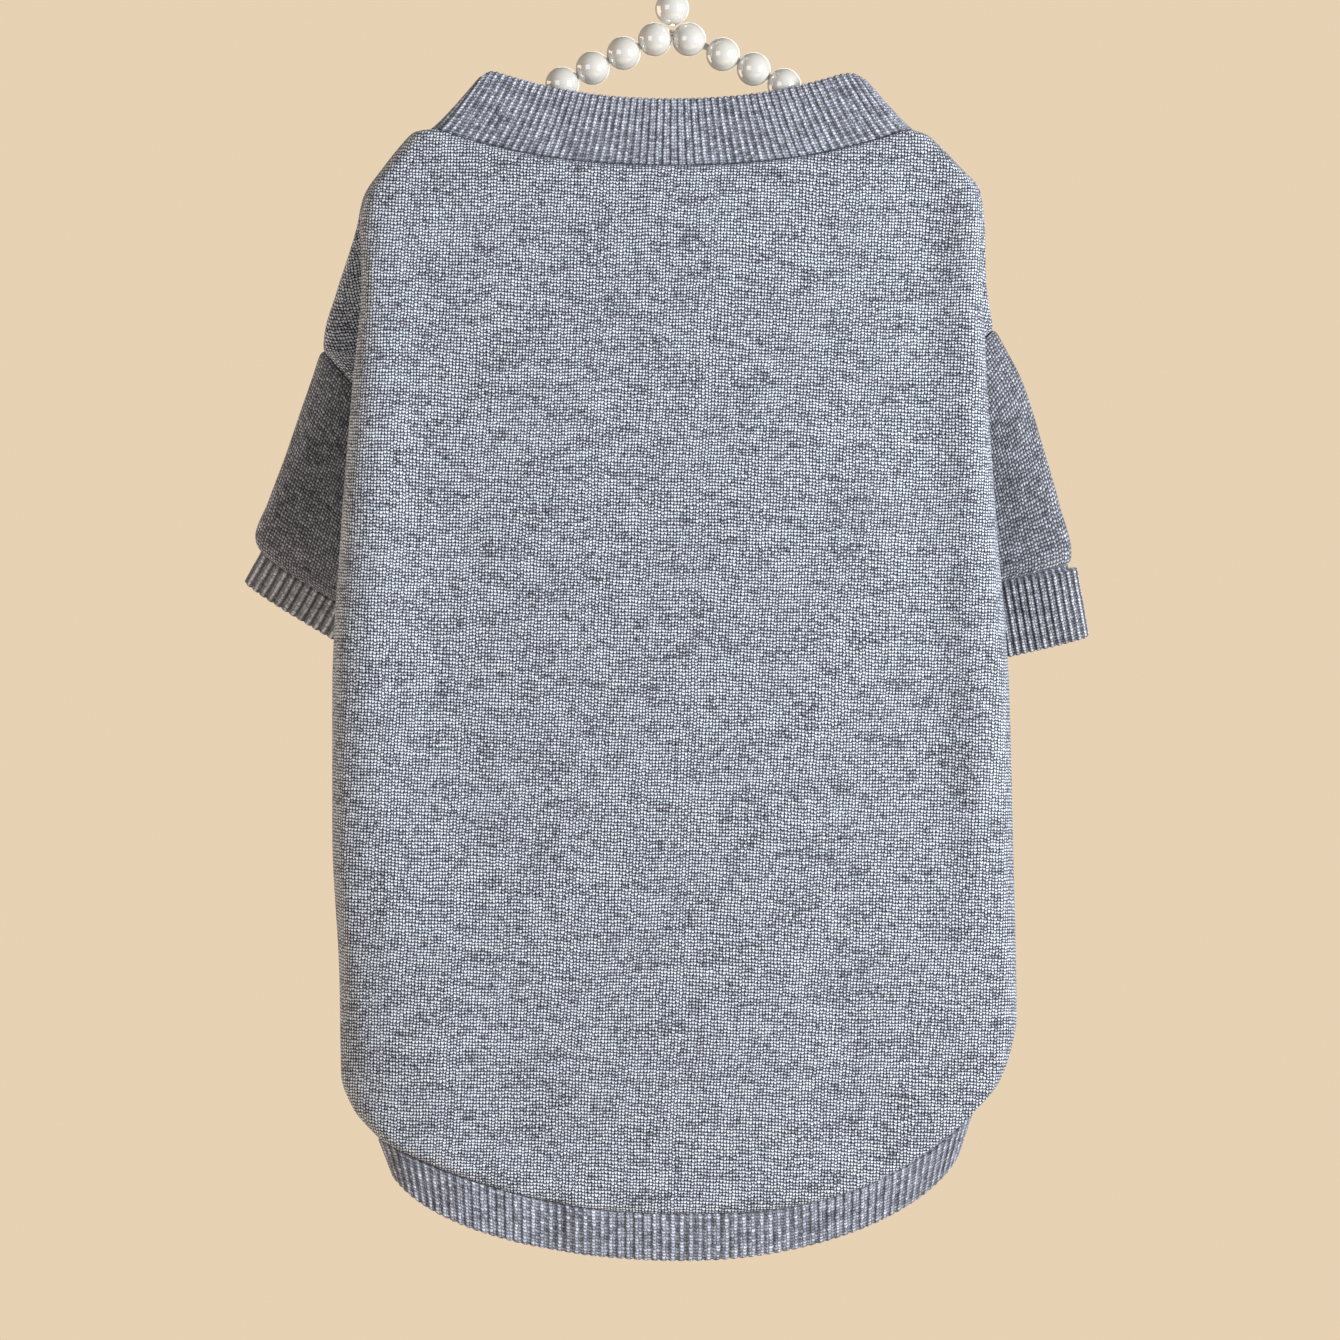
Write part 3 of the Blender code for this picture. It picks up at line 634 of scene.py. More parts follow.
def knit_group():
    """Plain knit: a V for each stitch, standing in wales. Its Open output is lowest in the pits where
    the gaps between wales cross the gaps between courses, and sets the painted shade there."""
    group, taken, given = new_group(
        "knit",
        [
            ("Cloth", "NodeSocketVector", None),
            ("Wale", "NodeSocketFloat", WALE),
            ("Course", "NodeSocketFloat", COURSE),
            ("Lean", "NodeSocketFloat", 0.0),
        ],
        [(name, "NodeSocketFloat") for name in ("Height", "Open", "Yarn", "Row")],
    )
    # the place on the cloth, turned by the lean, and how far the knit is off its grid there
    cloth = taken["Cloth"]
    right, up = place_node(group, "SeparateXYZ", {0: cloth}).outputs[:2]
    across = maths(group, "SUBTRACT", right, maths(group, "MULTIPLY", up, taken["Lean"]))
    along = maths(group, "MULTIPLY_ADD", right, taken["Lean"], up)
    drift = maths(group, "SUBTRACT", noise(group, cloth, 30.0, 38.0, offset=63.0), 0.5)
    stray = maths(group, "SUBTRACT", noise(group, cloth, 1.6, 1.8, offset=5.0), 0.5)
    slip = maths(group, "SUBTRACT", noise(group, cloth, 1.8, 1.5), 0.5)
    # how many wales across and courses along that is
    wales = maths(group, "MULTIPLY_ADD", drift, WANDER[0], across)
    wales = maths(group, "DIVIDE", wales, taken["Wale"])
    wales = maths(group, "MULTIPLY_ADD", stray, STRAY, wales)
    wale = maths(group, "FLOOR", wales)
    start = place_node(group, "TexWhiteNoise", {"W": wale}, noise_dimensions="1D").outputs[0]
    courses = maths(group, "MULTIPLY_ADD", drift, WANDER[1], along)
    courses = maths(group, "DIVIDE", courses, taken["Course"])
    courses = maths(group, "MULTIPLY_ADD", slip, STRAY, courses)
    courses = maths(group, "MULTIPLY_ADD", start, STAGGER, courses)
    # away: from the middle of the V, 0, to the gap between two wales, 1
    centred = maths(group, "SUBTRACT", maths(group, "SUBTRACT", wales, wale), 0.5)
    away = maths(group, "MULTIPLY", maths(group, "ABSOLUTE", centred), 2.0)
    climb = maths(group, "MULTIPLY_ADD", away, -CLIMB, courses)
    phase = maths(group, "MULTIPLY_ADD", maths(group, "FRACT", climb), 2.0, -1.0)
    loop = maths(group, "SUBTRACT", 1.0, maths(group, "MULTIPLY", phase, phase))
    loop = maths(group, "POWER", maths(group, "MAXIMUM", loop, 0.0), LOOP_SHARP)
    off_leg = maths(group, "MULTIPLY_ADD", away, 1 + LEG_OUT, -LEG_OUT)
    leg = maths(group, "SUBTRACT", 1.0, maths(group, "MULTIPLY", off_leg, off_leg))
    leg = maths(group, "POWER", maths(group, "MAXIMUM", leg, 0.0), LEG_SHARP)
    stitch = maths(group, "MULTIPLY", maths(group, "ADD", leg, loop), 0.5)
    stitch = maths(group, "POWER", stitch, PIT_SHARP)
    row = maths(group, "FLOOR", climb)
    cell = place_node(group, "CombineXYZ", {0: wale, 1: row}).outputs[0]
    yarn = place_node(group, "TexWhiteNoise", {"Vector": cell}, noise_dimensions="2D").outputs[0]
    group.links.new(maths(group, "POWER", stitch, YARN_FULL), given["Height"])
    group.links.new(stitch, given["Open"])
    group.links.new(yarn, given["Yarn"])
    group.links.new(row, given["Row"])
    return group


# how the heather is drawn. Sizes are in mm, across and along where there are two.
LONG_STREAK, SHORT_STREAK = 6.5, 2.2
FIBRE_SIZE, CLOUD_SIZE = (0.36, 0.32), (15.0, 5.0)
COURSES_APART = 37.4  # sets the streaks of one course far from the next one's in the noise
LONG_SHARE = 1.4  # weight of the long streaks against the short ones
YARN_VARIES, FIBRE_VARIES = 0.6, 0.9  # how much the tone changes by stitch and by fibre
FIBRE_RAISED = 0.35  # how far a fibre stands up, as a share of a stitch's relief


def heather_group():
    """Heather yarn: dark and light fibres spun together, so that short streaks run along
    each course, with cloudy patches a few stitches wide."""
    group, taken, given = new_group(
        "heather",
        [
            ("Cloth", "NodeSocketVector", None),
            ("Row", "NodeSocketFloat", 0.0),
            ("Streak", "NodeSocketFloat", 1.0),
            ("Cloud", "NodeSocketFloat", 1.0),
            ("Yarn", "NodeSocketFloat", 0.5),
        ],
        [("Tone", "NodeSocketFloat"), ("Fibre", "NodeSocketFloat")],
    )
    cloth = taken["Cloth"]
    across = place_node(group, "SeparateXYZ", {0: cloth}).outputs[0]
    along = maths(group, "MULTIPLY", taken["Row"], COURSES_APART)
    course = place_node(group, "CombineXYZ", {0: across, 1: along}).outputs[0]
    long_streak = noise(group, course, LONG_STREAK, 1.0, offset=3.0)
    short_streak = noise(group, course, SHORT_STREAK, 1.0, offset=11.0)
    fibre = noise(group, cloth, *FIBRE_SIZE, detail=2.0, offset=27.0)
    cloud = noise(group, cloth, *CLOUD_SIZE, detail=2.0, offset=41.0)
    # each is taken about its middle, so that it makes as much cloth darker as lighter
    streaks = maths(group, "MULTIPLY_ADD", long_streak, LONG_SHARE, short_streak)
    streaks = maths(group, "SUBTRACT", streaks, (LONG_SHARE + 1) / 2)
    clouds = maths(group, "MULTIPLY", maths(group, "SUBTRACT", cloud, 0.5), taken["Cloud"])
    tone = maths(group, "MULTIPLY_ADD", streaks, taken["Streak"], clouds)
    yarn = maths(group, "SUBTRACT", taken["Yarn"], 0.5)
    tone = maths(group, "MULTIPLY_ADD", yarn, YARN_VARIES, tone)
    tone = maths(group, "MULTIPLY_ADD", maths(group, "SUBTRACT", fibre, 0.5), FIBRE_VARIES, tone)
    group.links.new(maths(group, "ADD", tone, 0.5), given["Tone"])
    group.links.new(fibre, given["Fibre"])
    return group


KNIT, HEATHER = knit_group(), heather_group()


def heather_material(
    name, dark, light, wale, course, streak, cloud, pit_shading, groove=0.0, lean=0.0
):
    """Heather knit of one stitch size, matt and brushed, with a sheen from its nap. streak and cloud:
    how strongly the yarn varies. pit_shading: painted shade, how bright the colour is in the pits,
    and how much is added to that on the yarn. groove paints shade into the hollows between ribs,
    which are two wales apart. lean turns the knit a little off the straight, as jersey hangs."""
    made, tree, shader = new_material(name)
    flat = place_node(tree, "UVMap", uv_map="cloth").outputs[0]
    cloth = place_node(tree, "VectorMath", {0: flat, "Scale": 1 / MM}, operation="SCALE").outputs[0]
    knit = place_node(
        tree, "Group", {"Cloth": cloth, "Wale": wale, "Course": course, "Lean": lean}, node_tree=KNIT
    ).outputs
    heather = place_node(
        tree,
        "Group",
        {"Cloth": cloth, "Row": knit["Row"], "Yarn": knit["Yarn"], "Streak": streak, "Cloud": cloud},
        node_tree=HEATHER,
    ).outputs
    colour = mixed_colour(tree, heather["Tone"], dark, light)
    # painted shade: the colour is darkest in the pits between stitches and lightest on the yarn
    shade = maths(tree, "MULTIPLY_ADD", knit["Open"], pit_shading[1], pit_shading[0])
    # painted shade in the hollows between ribs, on top of the relief that the rib bands already have
    if groove:
        across = place_node(tree, "SeparateXYZ", {0: cloth}).outputs[0]
        wave = maths(tree, "SINE", maths(tree, "MULTIPLY", across, math.pi / wale))
        crest = maths(tree, "MULTIPLY_ADD", wave, groove / 2, 1 - groove / 2)
        shade = maths(tree, "MULTIPLY", shade, crest)
    shaded = place_node(tree, "VectorMath", {0: colour, "Scale": shade}, operation="SCALE").outputs[0]
    capped = place_node(tree, "VectorMath", {0: shaded, 1: BRIGHTEST}, operation="MINIMUM").outputs[0]
    height = maths(tree, "MULTIPLY_ADD", heather["Fibre"], FIBRE_RAISED, knit["Height"])
    bump = place_node(tree, "Bump", {"Distance": STITCH_DEEP * MM, "Height": height}).outputs[0]
    fill_inputs(tree, shader, {
        "Base Color": capped,
        "Normal": bump,
        "Roughness": 0.88,
        "Specular IOR Level": 0.25,
        "Sheen Weight": 0.22,
        "Sheen Roughness": 0.45,
        "Sheen Tint": (0.86, 0.90, 1.0, 1),
    })
    return made


jersey = heather_material(
    "jersey", HEATHER_DARK, HEATHER_LIGHT, WALE, COURSE,
    streak=0.48, cloud=0.52, pit_shading=JERSEY_PIT_SHADING, lean=JERSEY_LEAN,
)

half_seam = SEAM_SHOWN / 2
back_rows = [back_row(level, half_seam) for level in BODY_LEVELS]
back_panel = add_shell("back_fleece", back_rows, flat_places(back_rows), wall=JERSEY_WALL)
back_panel.data.materials.append(jersey)
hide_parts("back_panel")

# ---- The belly panel ----
# The far side of the body, a shorter piece of the same jersey between the shoulder, armhole
# and side seams. It hangs close behind the back panel with its neck and hem edges cut higher.
NECK_DIP_FRONT = 29.0
NECK_CURVE_FRONT = 2.2  # power of the neck seam's curve on this side
BELLY_HEM_DROP = 232.0
BELLY_FLAT_SHARE, BELLY_CORNER = 0.70, 8.0
EDGE_EASE = 0.06  # share of the side line that the edge takes to open out below the shoulder
FAR_STEP = 1.6  # how much nearer the middle the armhole is on this side
FAR_STEP_EASE = 0.12  # share of the armhole that the step takes to grow and to end
SEWN_TIGHT = 1.2  # how many times less far the armhole and side seams draw in the cloth
BELLY_SWELLS = [
    Swell(-64.0, 60, 225, 6.0, 9.0, 0.9),
    Swell(60.0, 50, 240, -5.0, 10.0, 0.8),
    Swell(-18.0, 90, 215, 10.0, 13.0, -0.8),
    Swell(27.0, 60, 180, -12.0, 15.0, 0.7),
    Swell(4.0, 150, 235, 3.0, 8.0, 0.5),
]


def far_step(level):
    """How much nearer the middle the armhole seam lies on the belly than on the back."""
    t = (level - ARM_LEVEL) / (UNDERARM_LEVEL - ARM_LEVEL)
    return FAR_STEP * clamped(t / FAR_STEP_EASE) * clamped((1 - t) / FAR_STEP_EASE)


# column 0 is the panel's middle and 1 its sewn edge, negative on the left
BELLY_COLUMNS = [0] + evenly(0, BELLY_FLAT_SHARE, 24) + evenly(BELLY_FLAT_SHARE, 1, 20)
BELLY_COLUMNS = mirrored(BELLY_COLUMNS)


def belly_row(level, trim=0.0):
    """A row of the belly panel. trim is taken off its sewn edges."""
    depth = between(DEPTHS, level)
    edges = {side: edge_at(side, level) for side in (-1, 1)}
    row = []
    for column in BELLY_COLUMNS:
        side, p = (-1 if column < 0 else 1), abs(column)
        edge = edges[side]
        back = edge.back
        if ARM_LEVEL <= level < UNDERARM_LEVEL:
            back = between(ARMHOLE[side], edge.drop).far
        flat = edge.out - BELLY_CORNER
        t = (p - BELLY_FLAT_SHARE) / (1 - BELLY_FLAT_SHARE)
        if t > 0:
            out, y = quarter(t, flat, BELLY_CORNER, back + trim - depth.far, depth.far)
            ease = clamped((level - ARM_LEVEL) / EDGE_EASE)
            out += (flat + BELLY_CORNER * t - out) * ease
            y += (depth.far + (back - depth.far) * eased(t) - y) * ease
        else:
            out, y = flat * p / BELLY_FLAT_SHARE, depth.far
        if level >= ARM_LEVEL:
            out -= (trim + far_step(level)) * (out / edge.out) ** 4
        share = out / edge.out
        top = NECK_DIP_FRONT * (1 - share**NECK_CURVE_FRONT)
        bottom = BELLY_HEM_DROP + (SIDE_SEAM[side][-1].drop - BELLY_HEM_DROP) * share**2
        middle = top + (bottom - top) * level
        drop = middle + (edge.drop - level * SIDE_SEAM[side][-1].drop) * share**2
        puff = seam_lift((edge.out - out) * SEWN_TIGHT, puff=0.35) if level >= ARM_LEVEL else 0.0
        lift = swell_at(BELLY_SWELLS, side * out, drop) * (1 - share**6)
        y += lift + seam_lift(drop - top) + seam_lift(bottom - drop) + max(0.0, puff)
        row.append(Vector((side * out, y, NECK_Z - drop)))
    return row


belly_rows = [belly_row(level, half_seam) for level in BODY_LEVELS]
belly_panel = add_shell(
    "belly_fleece", belly_rows, flat_places(belly_rows), wall=JERSEY_WALL, flip=True
)
belly_panel.data.materials.append(jersey)
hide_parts("belly_panel")

# ---- The collar ----
# A band of one-by-one rib in the same yarn, folded double with the fold on top and sewn
# round the neck, stretched a little, so that the ribs fan out towards the seam.
RIB_WALL = 2.2
COLLAR = 19.5  # height above the neck points
COLLAR_UNDER = 0.2  # how far below that the fold stays
COLLAR_CLEAR = 1.15 * SEAM  # gap between the collar and the body
COLLAR_DIP_BACK, COLLAR_DIP_FRONT = NECK_DIP_BACK - 0.7, NECK_DIP_FRONT - 1.5  # along the fold
COLLAR_TAPER = 0.82  # top of the collar against its seam, in width
COLLAR_THIN = 0.96  # and the collar against the body, from near side to far side
COLLAR_CORNER = {-1: 0.12, 1: 0.16}  # share of each half that the top's end is rounded over
CORNER_DOWN = 4.4  # how far the top comes down there
ROOM_END, ROOM_EASE = 70.3, 37.0  # how far out the room for the seam allowance ends, eased out
NECK_STEPS = 14
RIB_PITCH = 2.26
RIB_COURSE = 0.92
RIB_DEEP = 0.55
RIB_FULL = 0.75  # power that fills out a rib's crest
RIB_AT_FOLD = 0.9  # depth of the grooves over the fold against the rest
FOLD_ANGLES = (30, 60, 90, 120, 150)  # degrees round the fold
COLUMNS_PER_RIB = 8
ALLOWANCE_LEAST = 0.2  # how much of the seam allowance's length is left where it has no room
# the seam allowance's outline: how deep inside the outer face, and how far past the seam,
# with the body's side below nought
RawEdge = namedtuple("RawEdge", "deep past")
ALLOWANCE = [
    RawEdge(3.3, 0.5),
    RawEdge(4.2, -0.8),
    RawEdge(4.3, -4.4),
    RawEdge(3.8, -5.6),
    RawEdge(3.2, -4.6),
    RawEdge(3.0, -1.6),
    RawEdge(2.8, -0.1),
]
RIB_DARK = (0.118, 0.128, 0.16, 1)
RIB_LIGHT = (0.62, 0.67, 0.82, 1)


def body_ring(level):
    """All round the body at one level: the back panel, then the belly from right to left."""
    return back_row(level) + belly_row(level)[-2:0:-1]


def ring_marks(ring, count):
    """Equal steps round a ring, each as a point's number and the share on to the next."""
    reached = [0.0]
    for start, end in zip(ring, ring[1:] + ring[:1]):
        reached.append(reached[-1] + (end - start).length)
    marks = []
    for k in range(count):
        goal = reached[-1] * k / count
        i = min(bisect_right(reached, goal) - 1, len(ring) - 1)
        marks.append((i, (goal - reached[i]) / (reached[i + 1] - reached[i])))
    return marks


def at_marks(ring, marks):
    """A ring's points at marks that ring_marks gave for it or for one like it."""
    return [ring[i].lerp(ring[(i + 1) % len(ring)], share) for i, share in marks]


def facings(rows):
    """The outward direction at each point of closed rows, and whether their faces turn inwards
    when they are made row by row."""
    count = len(rows[0])
    found = []
    for r, row in enumerate(rows):
        above, below = rows[max(r - 1, 0)], rows[min(r + 1, len(rows) - 1)]
        line = []
        for c in range(count):
            across = row[(c + 1) % count] - row[c - 1]
            down = below[c] - above[c]
            line.append(across.cross(down).normalized())
        found.append(line)
    middle = sum(rows[0], Vector()) / count
    inwards = sum((point - middle).dot(n) for point, n in zip(rows[0], found[0])) < 0
    if inwards:
        found = [[-n for n in line] for line in found]
    return found, inwards


def rib_depth(column):
    """How far a rib's groove lies below its crest, 0 to 1, at a column."""
    return 1 - abs(math.cos(math.pi * column / COLUMNS_PER_RIB)) ** RIB_FULL


def allowance(row, line, onward, room):
    """The band's raw edges, which lie inside the body past the seam, in rows from the band's
    inner face round their ends and back to the seam. room: how much of it fits, from 0 to 1,
    at each point."""
    rows = []
    for edge in ALLOWANCE:
        made = []
        for point, normal, on, fit in zip(row, line, onward, room):
            inside = RIB_WALL + (edge.deep - RIB_WALL) * fit
            long = ALLOWANCE_LEAST + (1 - ALLOWANCE_LEAST) * fit
            made.append(point - normal * inside + on * edge.past * long)
        rows.append(made)
    return rows


def add_rib_band(name, rows, material, room):
    """A folded rib band. rows run from its seam to the fold on the outside; the band turns
    over there and comes back inside, one wall away, to its seam allowance."""
    count = len(rows[0])
    normals, inwards = facings(rows)
    grooves = [rib_depth(c) * RIB_DEEP for c in range(count)]
    outer, inner = [], []
    for row, line in zip(rows, normals):
        outer.append([p - n * g for p, n, g in zip(row, line, grooves)])
        inner.append([p - n * (RIB_WALL - g) for p, n, g in zip(row, line, grooves)])
    turned = []
    for angle in FOLD_ANGLES:
        wide, ahead = math.cos(math.radians(angle)), math.sin(math.radians(angle))
        line = []
        for c in range(count):
            onward = (rows[-1][c] - rows[-2][c]).normalized()
            middle = rows[-1][c] - normals[-1][c] * RIB_WALL / 2
            radius = RIB_WALL / 2 - grooves[c] * RIB_AT_FOLD
            line.append(middle + (normals[-1][c] * wide + onward * ahead) * radius)
        turned.append(line)
    profile = outer + turned + inner[::-1]
    onward = [(b - a).normalized() for a, b in zip(rows[0], rows[1])]
    profile = profile[:-1] + allowance(rows[0], normals[0], onward, room)
    spots, reached = [], 0.0
    for r in range(len(profile) + 1):
        if r:
            reached += (profile[r % len(profile)][0] - profile[r - 1][0]).length
        step = RIB_PITCH / COLUMNS_PER_RIB
        spots.append([(c * step + RIB_PITCH / 4, -reached) for c in range(count + 1)])
    band = add_shell(name, profile, spots, closed=True, looped=True, flip=not inwards)
    band.data.materials.append(material)
    return band


rib = heather_material(
    "rib", RIB_DARK, RIB_LIGHT, RIB_PITCH / 2, RIB_COURSE,
    streak=0.25, cloud=0.36, pit_shading=(0.5, 1.35), groove=0.45,
)

neck_ring = body_ring(0)
collar_fold = NECK_Z + COLLAR - COLLAR_UNDER - RIB_WALL / 2  # height at the neck points
neck_rows = []
for step in range(NECK_STEPS + 1):
    t = step / NECK_STEPS
    row = []
    for point in neck_ring:
        side = 1 if point.x > 0 else -1
        share = min(1, abs(point.x) / SHOULDER[side][0].out)
        dip = COLLAR_DIP_BACK if point.y < 0 else COLLAR_DIP_FRONT
        rounded = COLLAR_CORNER[side]
        corner = CORNER_DOWN * max(0, (share - 1 + rounded) / rounded) ** 2
        top = collar_fold - dip * (1 - share**NECK_CURVE_FRONT) - corner
        low = point.z + COLLAR_CLEAR
        in_by = 1 - (1 - COLLAR_TAPER) * t**0.9
        row.append(Vector((point.x * in_by, point.y * COLLAR_THIN, low + (top - low) * t)))
    neck_rows.append(row)
around = lengths_along(neck_ring, closed=True)[-1]
neck_ribs = round(around / RIB_PITCH)
neck_marks = ring_marks(neck_ring, neck_ribs * COLUMNS_PER_RIB)
neck_rows = [at_marks(row, neck_marks) for row in neck_rows]
neck_room = [clamped((ROOM_END - abs(point.x)) / ROOM_EASE) for point in neck_rows[0]]
neck_rib = add_rib_band("neck_rib", neck_rows, rib, neck_room)
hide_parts("neck_band")

# ---- The hem band ----
# The same rib, folded double and sewn to the body's lower edge with the fold down. It is
# shorter than that edge, so it draws the body in and the jersey ripples along the seam.
HEM = 14.0
HEM_STEPS = 10
# the near lower edge is a quarter of an ellipse on each side of its lowest point. reach: how
# far the quarter goes out. drop: how far down it starts.
HEM_LOWEST_OUT, HEM_LOWEST_DROP = 3.0, BACK_HEM_DROP + HEM + 0.4
Ellipse = namedtuple("Ellipse", "reach drop")
HEM_ELLIPSE = {-1: Ellipse(89.5, 299.6), 1: Ellipse(85.8, 290.0)}
HEM_DRAWN_IN = 0.05  # share by which that edge is narrower than the seam
HEM_NEAR_BACK = 2.2  # how far the near lower edge lies behind the seam
HEM_FAR_IN, HEM_FAR_NEAR = 4.5, 0.6  # how far the far one lies in and to the near side
HEM_TURN, HEM_TURN_EASE = 0.96, 0.3  # column where the near edge starts to turn into the far one
HEM_CLEAR, HEM_CLEAR_SIDES = 0.5, 1.2  # gap under the body, in seams, and what the sides add
HEM_PASSES = 60  # of smoothing along the lower edge


def hem_bottom_z(x, side):
    """The height of the hem band's lower edge across the back."""
    start = HEM_ELLIPSE[side]
    share = (x - HEM_LOWEST_OUT) / start.reach
    below = (HEM_LOWEST_DROP - start.drop) * math.sqrt(max(0, 1 - share**2))
    return NECK_Z - start.drop - below


def smoothed(ring, passes):
    """A ring of points with its kinks eased out."""
    for _ in range(passes):
        before, after = ring[-1:] + ring[:-1], ring[1:] + ring[:1]
        ring = [(a + b * 2 + c) / 4 for a, b, c in zip(before, ring, after)]
    return ring


hem_ring = body_ring(1)
hem_starts, hem_ends = [], []
for i, point in enumerate(hem_ring):
    side = 1 if point.x > 0 else -1
    share = min(1, abs(point.x) / FOLD[side][-1].out)
    near_end = Vector((point.x * (1 - HEM_DRAWN_IN * share**4), point.y + HEM_NEAR_BACK, 0))
    near_end.z = hem_bottom_z(near_end.x, side)
    in_by = HEM_FAR_IN * share
    far_end = point + Vector((-side * in_by, -HEM_FAR_NEAR, -math.sqrt(HEM**2 - in_by**2)))
    column = abs(BACK_COLUMNS[i]) if i < len(BACK_COLUMNS) else 2
    clear = SEAM * (HEM_CLEAR + HEM_CLEAR_SIDES * share**2)
    hem_starts.append(point - Vector((0, 0, clear)))
    hem_ends.append(near_end.lerp(far_end, eased(clamped((column - HEM_TURN) / HEM_TURN_EASE))))
hem_ribs = round(lengths_along(hem_ring, closed=True)[-1] / RIB_PITCH)
hem_marks = ring_marks(hem_ring, hem_ribs * COLUMNS_PER_RIB)
hem_starts = at_marks(hem_starts, hem_marks)
hem_ends = smoothed(at_marks(hem_ends, hem_marks), HEM_PASSES)
hem_rows = []
for step in range(HEM_STEPS + 1):
    row = []
    for start, end in zip(hem_starts, hem_ends):
        end = end - (end - start).normalized() * RIB_WALL / 2
        row.append(start.lerp(end, step / HEM_STEPS))
    hem_rows.append(row)
hem_rib = add_rib_band("hem_rib", hem_rows, rib, [1.0] * len(hem_marks))
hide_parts("hem_band")

# ---- The sleeves ----
# Short sleeves of the jersey, each a tube closed under the arm and set into its armhole. They
# fall behind the body's side folds, flattened, and blouse a little over the cuffs.

# a section across a sleeve or a cuff: how far along it lies from 0 to 1, where its outer fold
# lies, where its underarm lies, and how thick it is between its two faces
Section = namedtuple("Section", "level outer_drop outer_out outer_back drop out back thick")
SLEEVE = {
    -1: [
        Section(0.00, 64.9, 103.3, 2.0, 114.0, 60.0, 8.2, 6.0),
        Section(0.25, 80.0, 109.2, 6.5, 126.0, 63.5, 16.5, 10.0),
        Section(0.50, 94.5, 114.5, 12.0, 136.0, 68.0, 23.0, 11.0),
        Section(0.75, 109.5, 120.6, 19.5, 145.0, 72.5, 29.0, 11.0),
        Section(0.93, 118.8, 124.2, 26.5, 147.4, 75.5, 33.0, 10.0),
        Section(1.00, 122.8, 122.8, 29.0, 148.8, 76.5, 34.0, 8.0),
    ],
    1: [
        Section(0.00, 58.7, 95.0, 1.5, 106.0, 60.0, 8.2, 6.0),
        Section(0.25, 73.0, 103.4, 5.5, 116.0, 63.5, 15.5, 9.5),
        Section(0.50, 92.0, 109.8, 9.0, 124.5, 67.0, 19.0, 10.5),
        Section(0.75, 111.0, 115.4, 12.0, 132.5, 70.5, 21.0, 11.0),
        Section(0.93, 123.3, 118.4, 14.0, 136.6, 73.0, 22.0, 11.0),
        Section(1.00, 127.9, 118.2, 14.5, 138.4, 73.5, 22.0, 10.0),
    ],
}
CUFF = {
    -1: [
        Section(0.0, 123.3, 122.9, 29.6, 149.5, 76.6, 34.5, 8.0),
        Section(1.0, 132.4, 129.2, 47.4, 159.8, 83.0, 51.8, 4.8),
    ],
    1: [
        Section(0.0, 129.1, 120.6, 14.8, 139.4, 73.3, 22.3, 10.5),
        Section(1.0, 148.6, 124.3, 18.5, 159.2, 76.8, 26.0, 11.0),
    ],
}
# the body's jersey in darker colours, as painted shade: the sleeves hang behind the side folds and
# face down, away from the light
SHADED_SLEEVE_DARK = (0.064, 0.068, 0.082, 1)
SHADED_SLEEVE_LIGHT = (0.31, 0.33, 0.39, 1)
SLEEVE_TIP = 0.985  # a sleeve reaches this far down its armhole, clear of the side seam
SLEEVE_OUT, SLEEVE_DOWN = 0.3, 1.1  # how far it starts from the armhole, in pressed seams
FOLD_SQUARE, FACE_FLAT = 0.85, 0.75  # powers that square a tube's two folds and flatten its faces
SLEEVE_STEPS = 26  # columns down each half of an armhole
TIP_CLOSER = 1.5  # power that sets them closer together towards the underarm
SLEEVE_ROWS = [0, 0.008, 0.02, 0.036] + evenly(0.036, 0.95, 40) + [0.966, 0.98, 0.99, 1]


def flattened(section, side, turn, axis):
    """A point round a soft flattened tube; turn 0 is its outer fold, 0.5 the underarm."""
    outer = Vector((side * section.outer_out, section.outer_back, NECK_Z - section.outer_drop))
    inner = Vector((side * section.out, section.back, NECK_Z - section.drop))
    half = (outer - inner) / 2
    across = half.cross(axis).normalized() * section.thick / 2
    if across.y > 0:
        across = -across
    angle = 2 * math.pi * turn
    wide, deep = math.cos(angle), math.sin(angle)
    wide = math.copysign(abs(wide) ** FOLD_SQUARE, wide)
    deep = math.copysign(abs(deep) ** FACE_FLAT, deep)
    return (outer + inner) / 2 + half * wide + across * deep


def tube_axis(table, side):
    """The way that a sleeve or a cuff runs, from its first section to its last."""
    first, last = table[0], table[-1]
    start = Vector((side * (first.outer_out + first.out) / 2, first.back, -first.drop))
    end = Vector((side * (last.outer_out + last.out) / 2, last.back, -last.drop))
    return (end - start).normalized()


def armhole_ring(side):
    """Round the armhole just outside its seam, from the shoulder down the near half and
    back up the far half."""
    near, far = [], []
    for k in range(SLEEVE_STEPS + 1):
        reach = SLEEVE_TIP * (1 - (1 - k / SLEEVE_STEPS) ** TIP_CLOSER)
        level = ARM_LEVEL + (UNDERARM_LEVEL - ARM_LEVEL) * reach
        edge = between(ARMHOLE[side], edge_at(side, level).drop)
        ahead = heading(edge)
        shift = Vector((side * SLEEVE_OUT, 0, -SLEEVE_DOWN)) * SEAM_SHOWN
        point = Vector((side * edge.out, edge.back, NECK_Z - edge.drop)) + shift
        near.append(point + Vector((side * max(0, ahead[0]), ahead[1], 0)) * SEAM_SHOWN)
        far.append(Vector((side * (edge.out + SEAM_SHOWN - far_step(level)), edge.far, point.z)))
    tip = near[-1].lerp(far[-1], 0.5)
    return near[:-1] + [tip] + far[-2:0:-1]


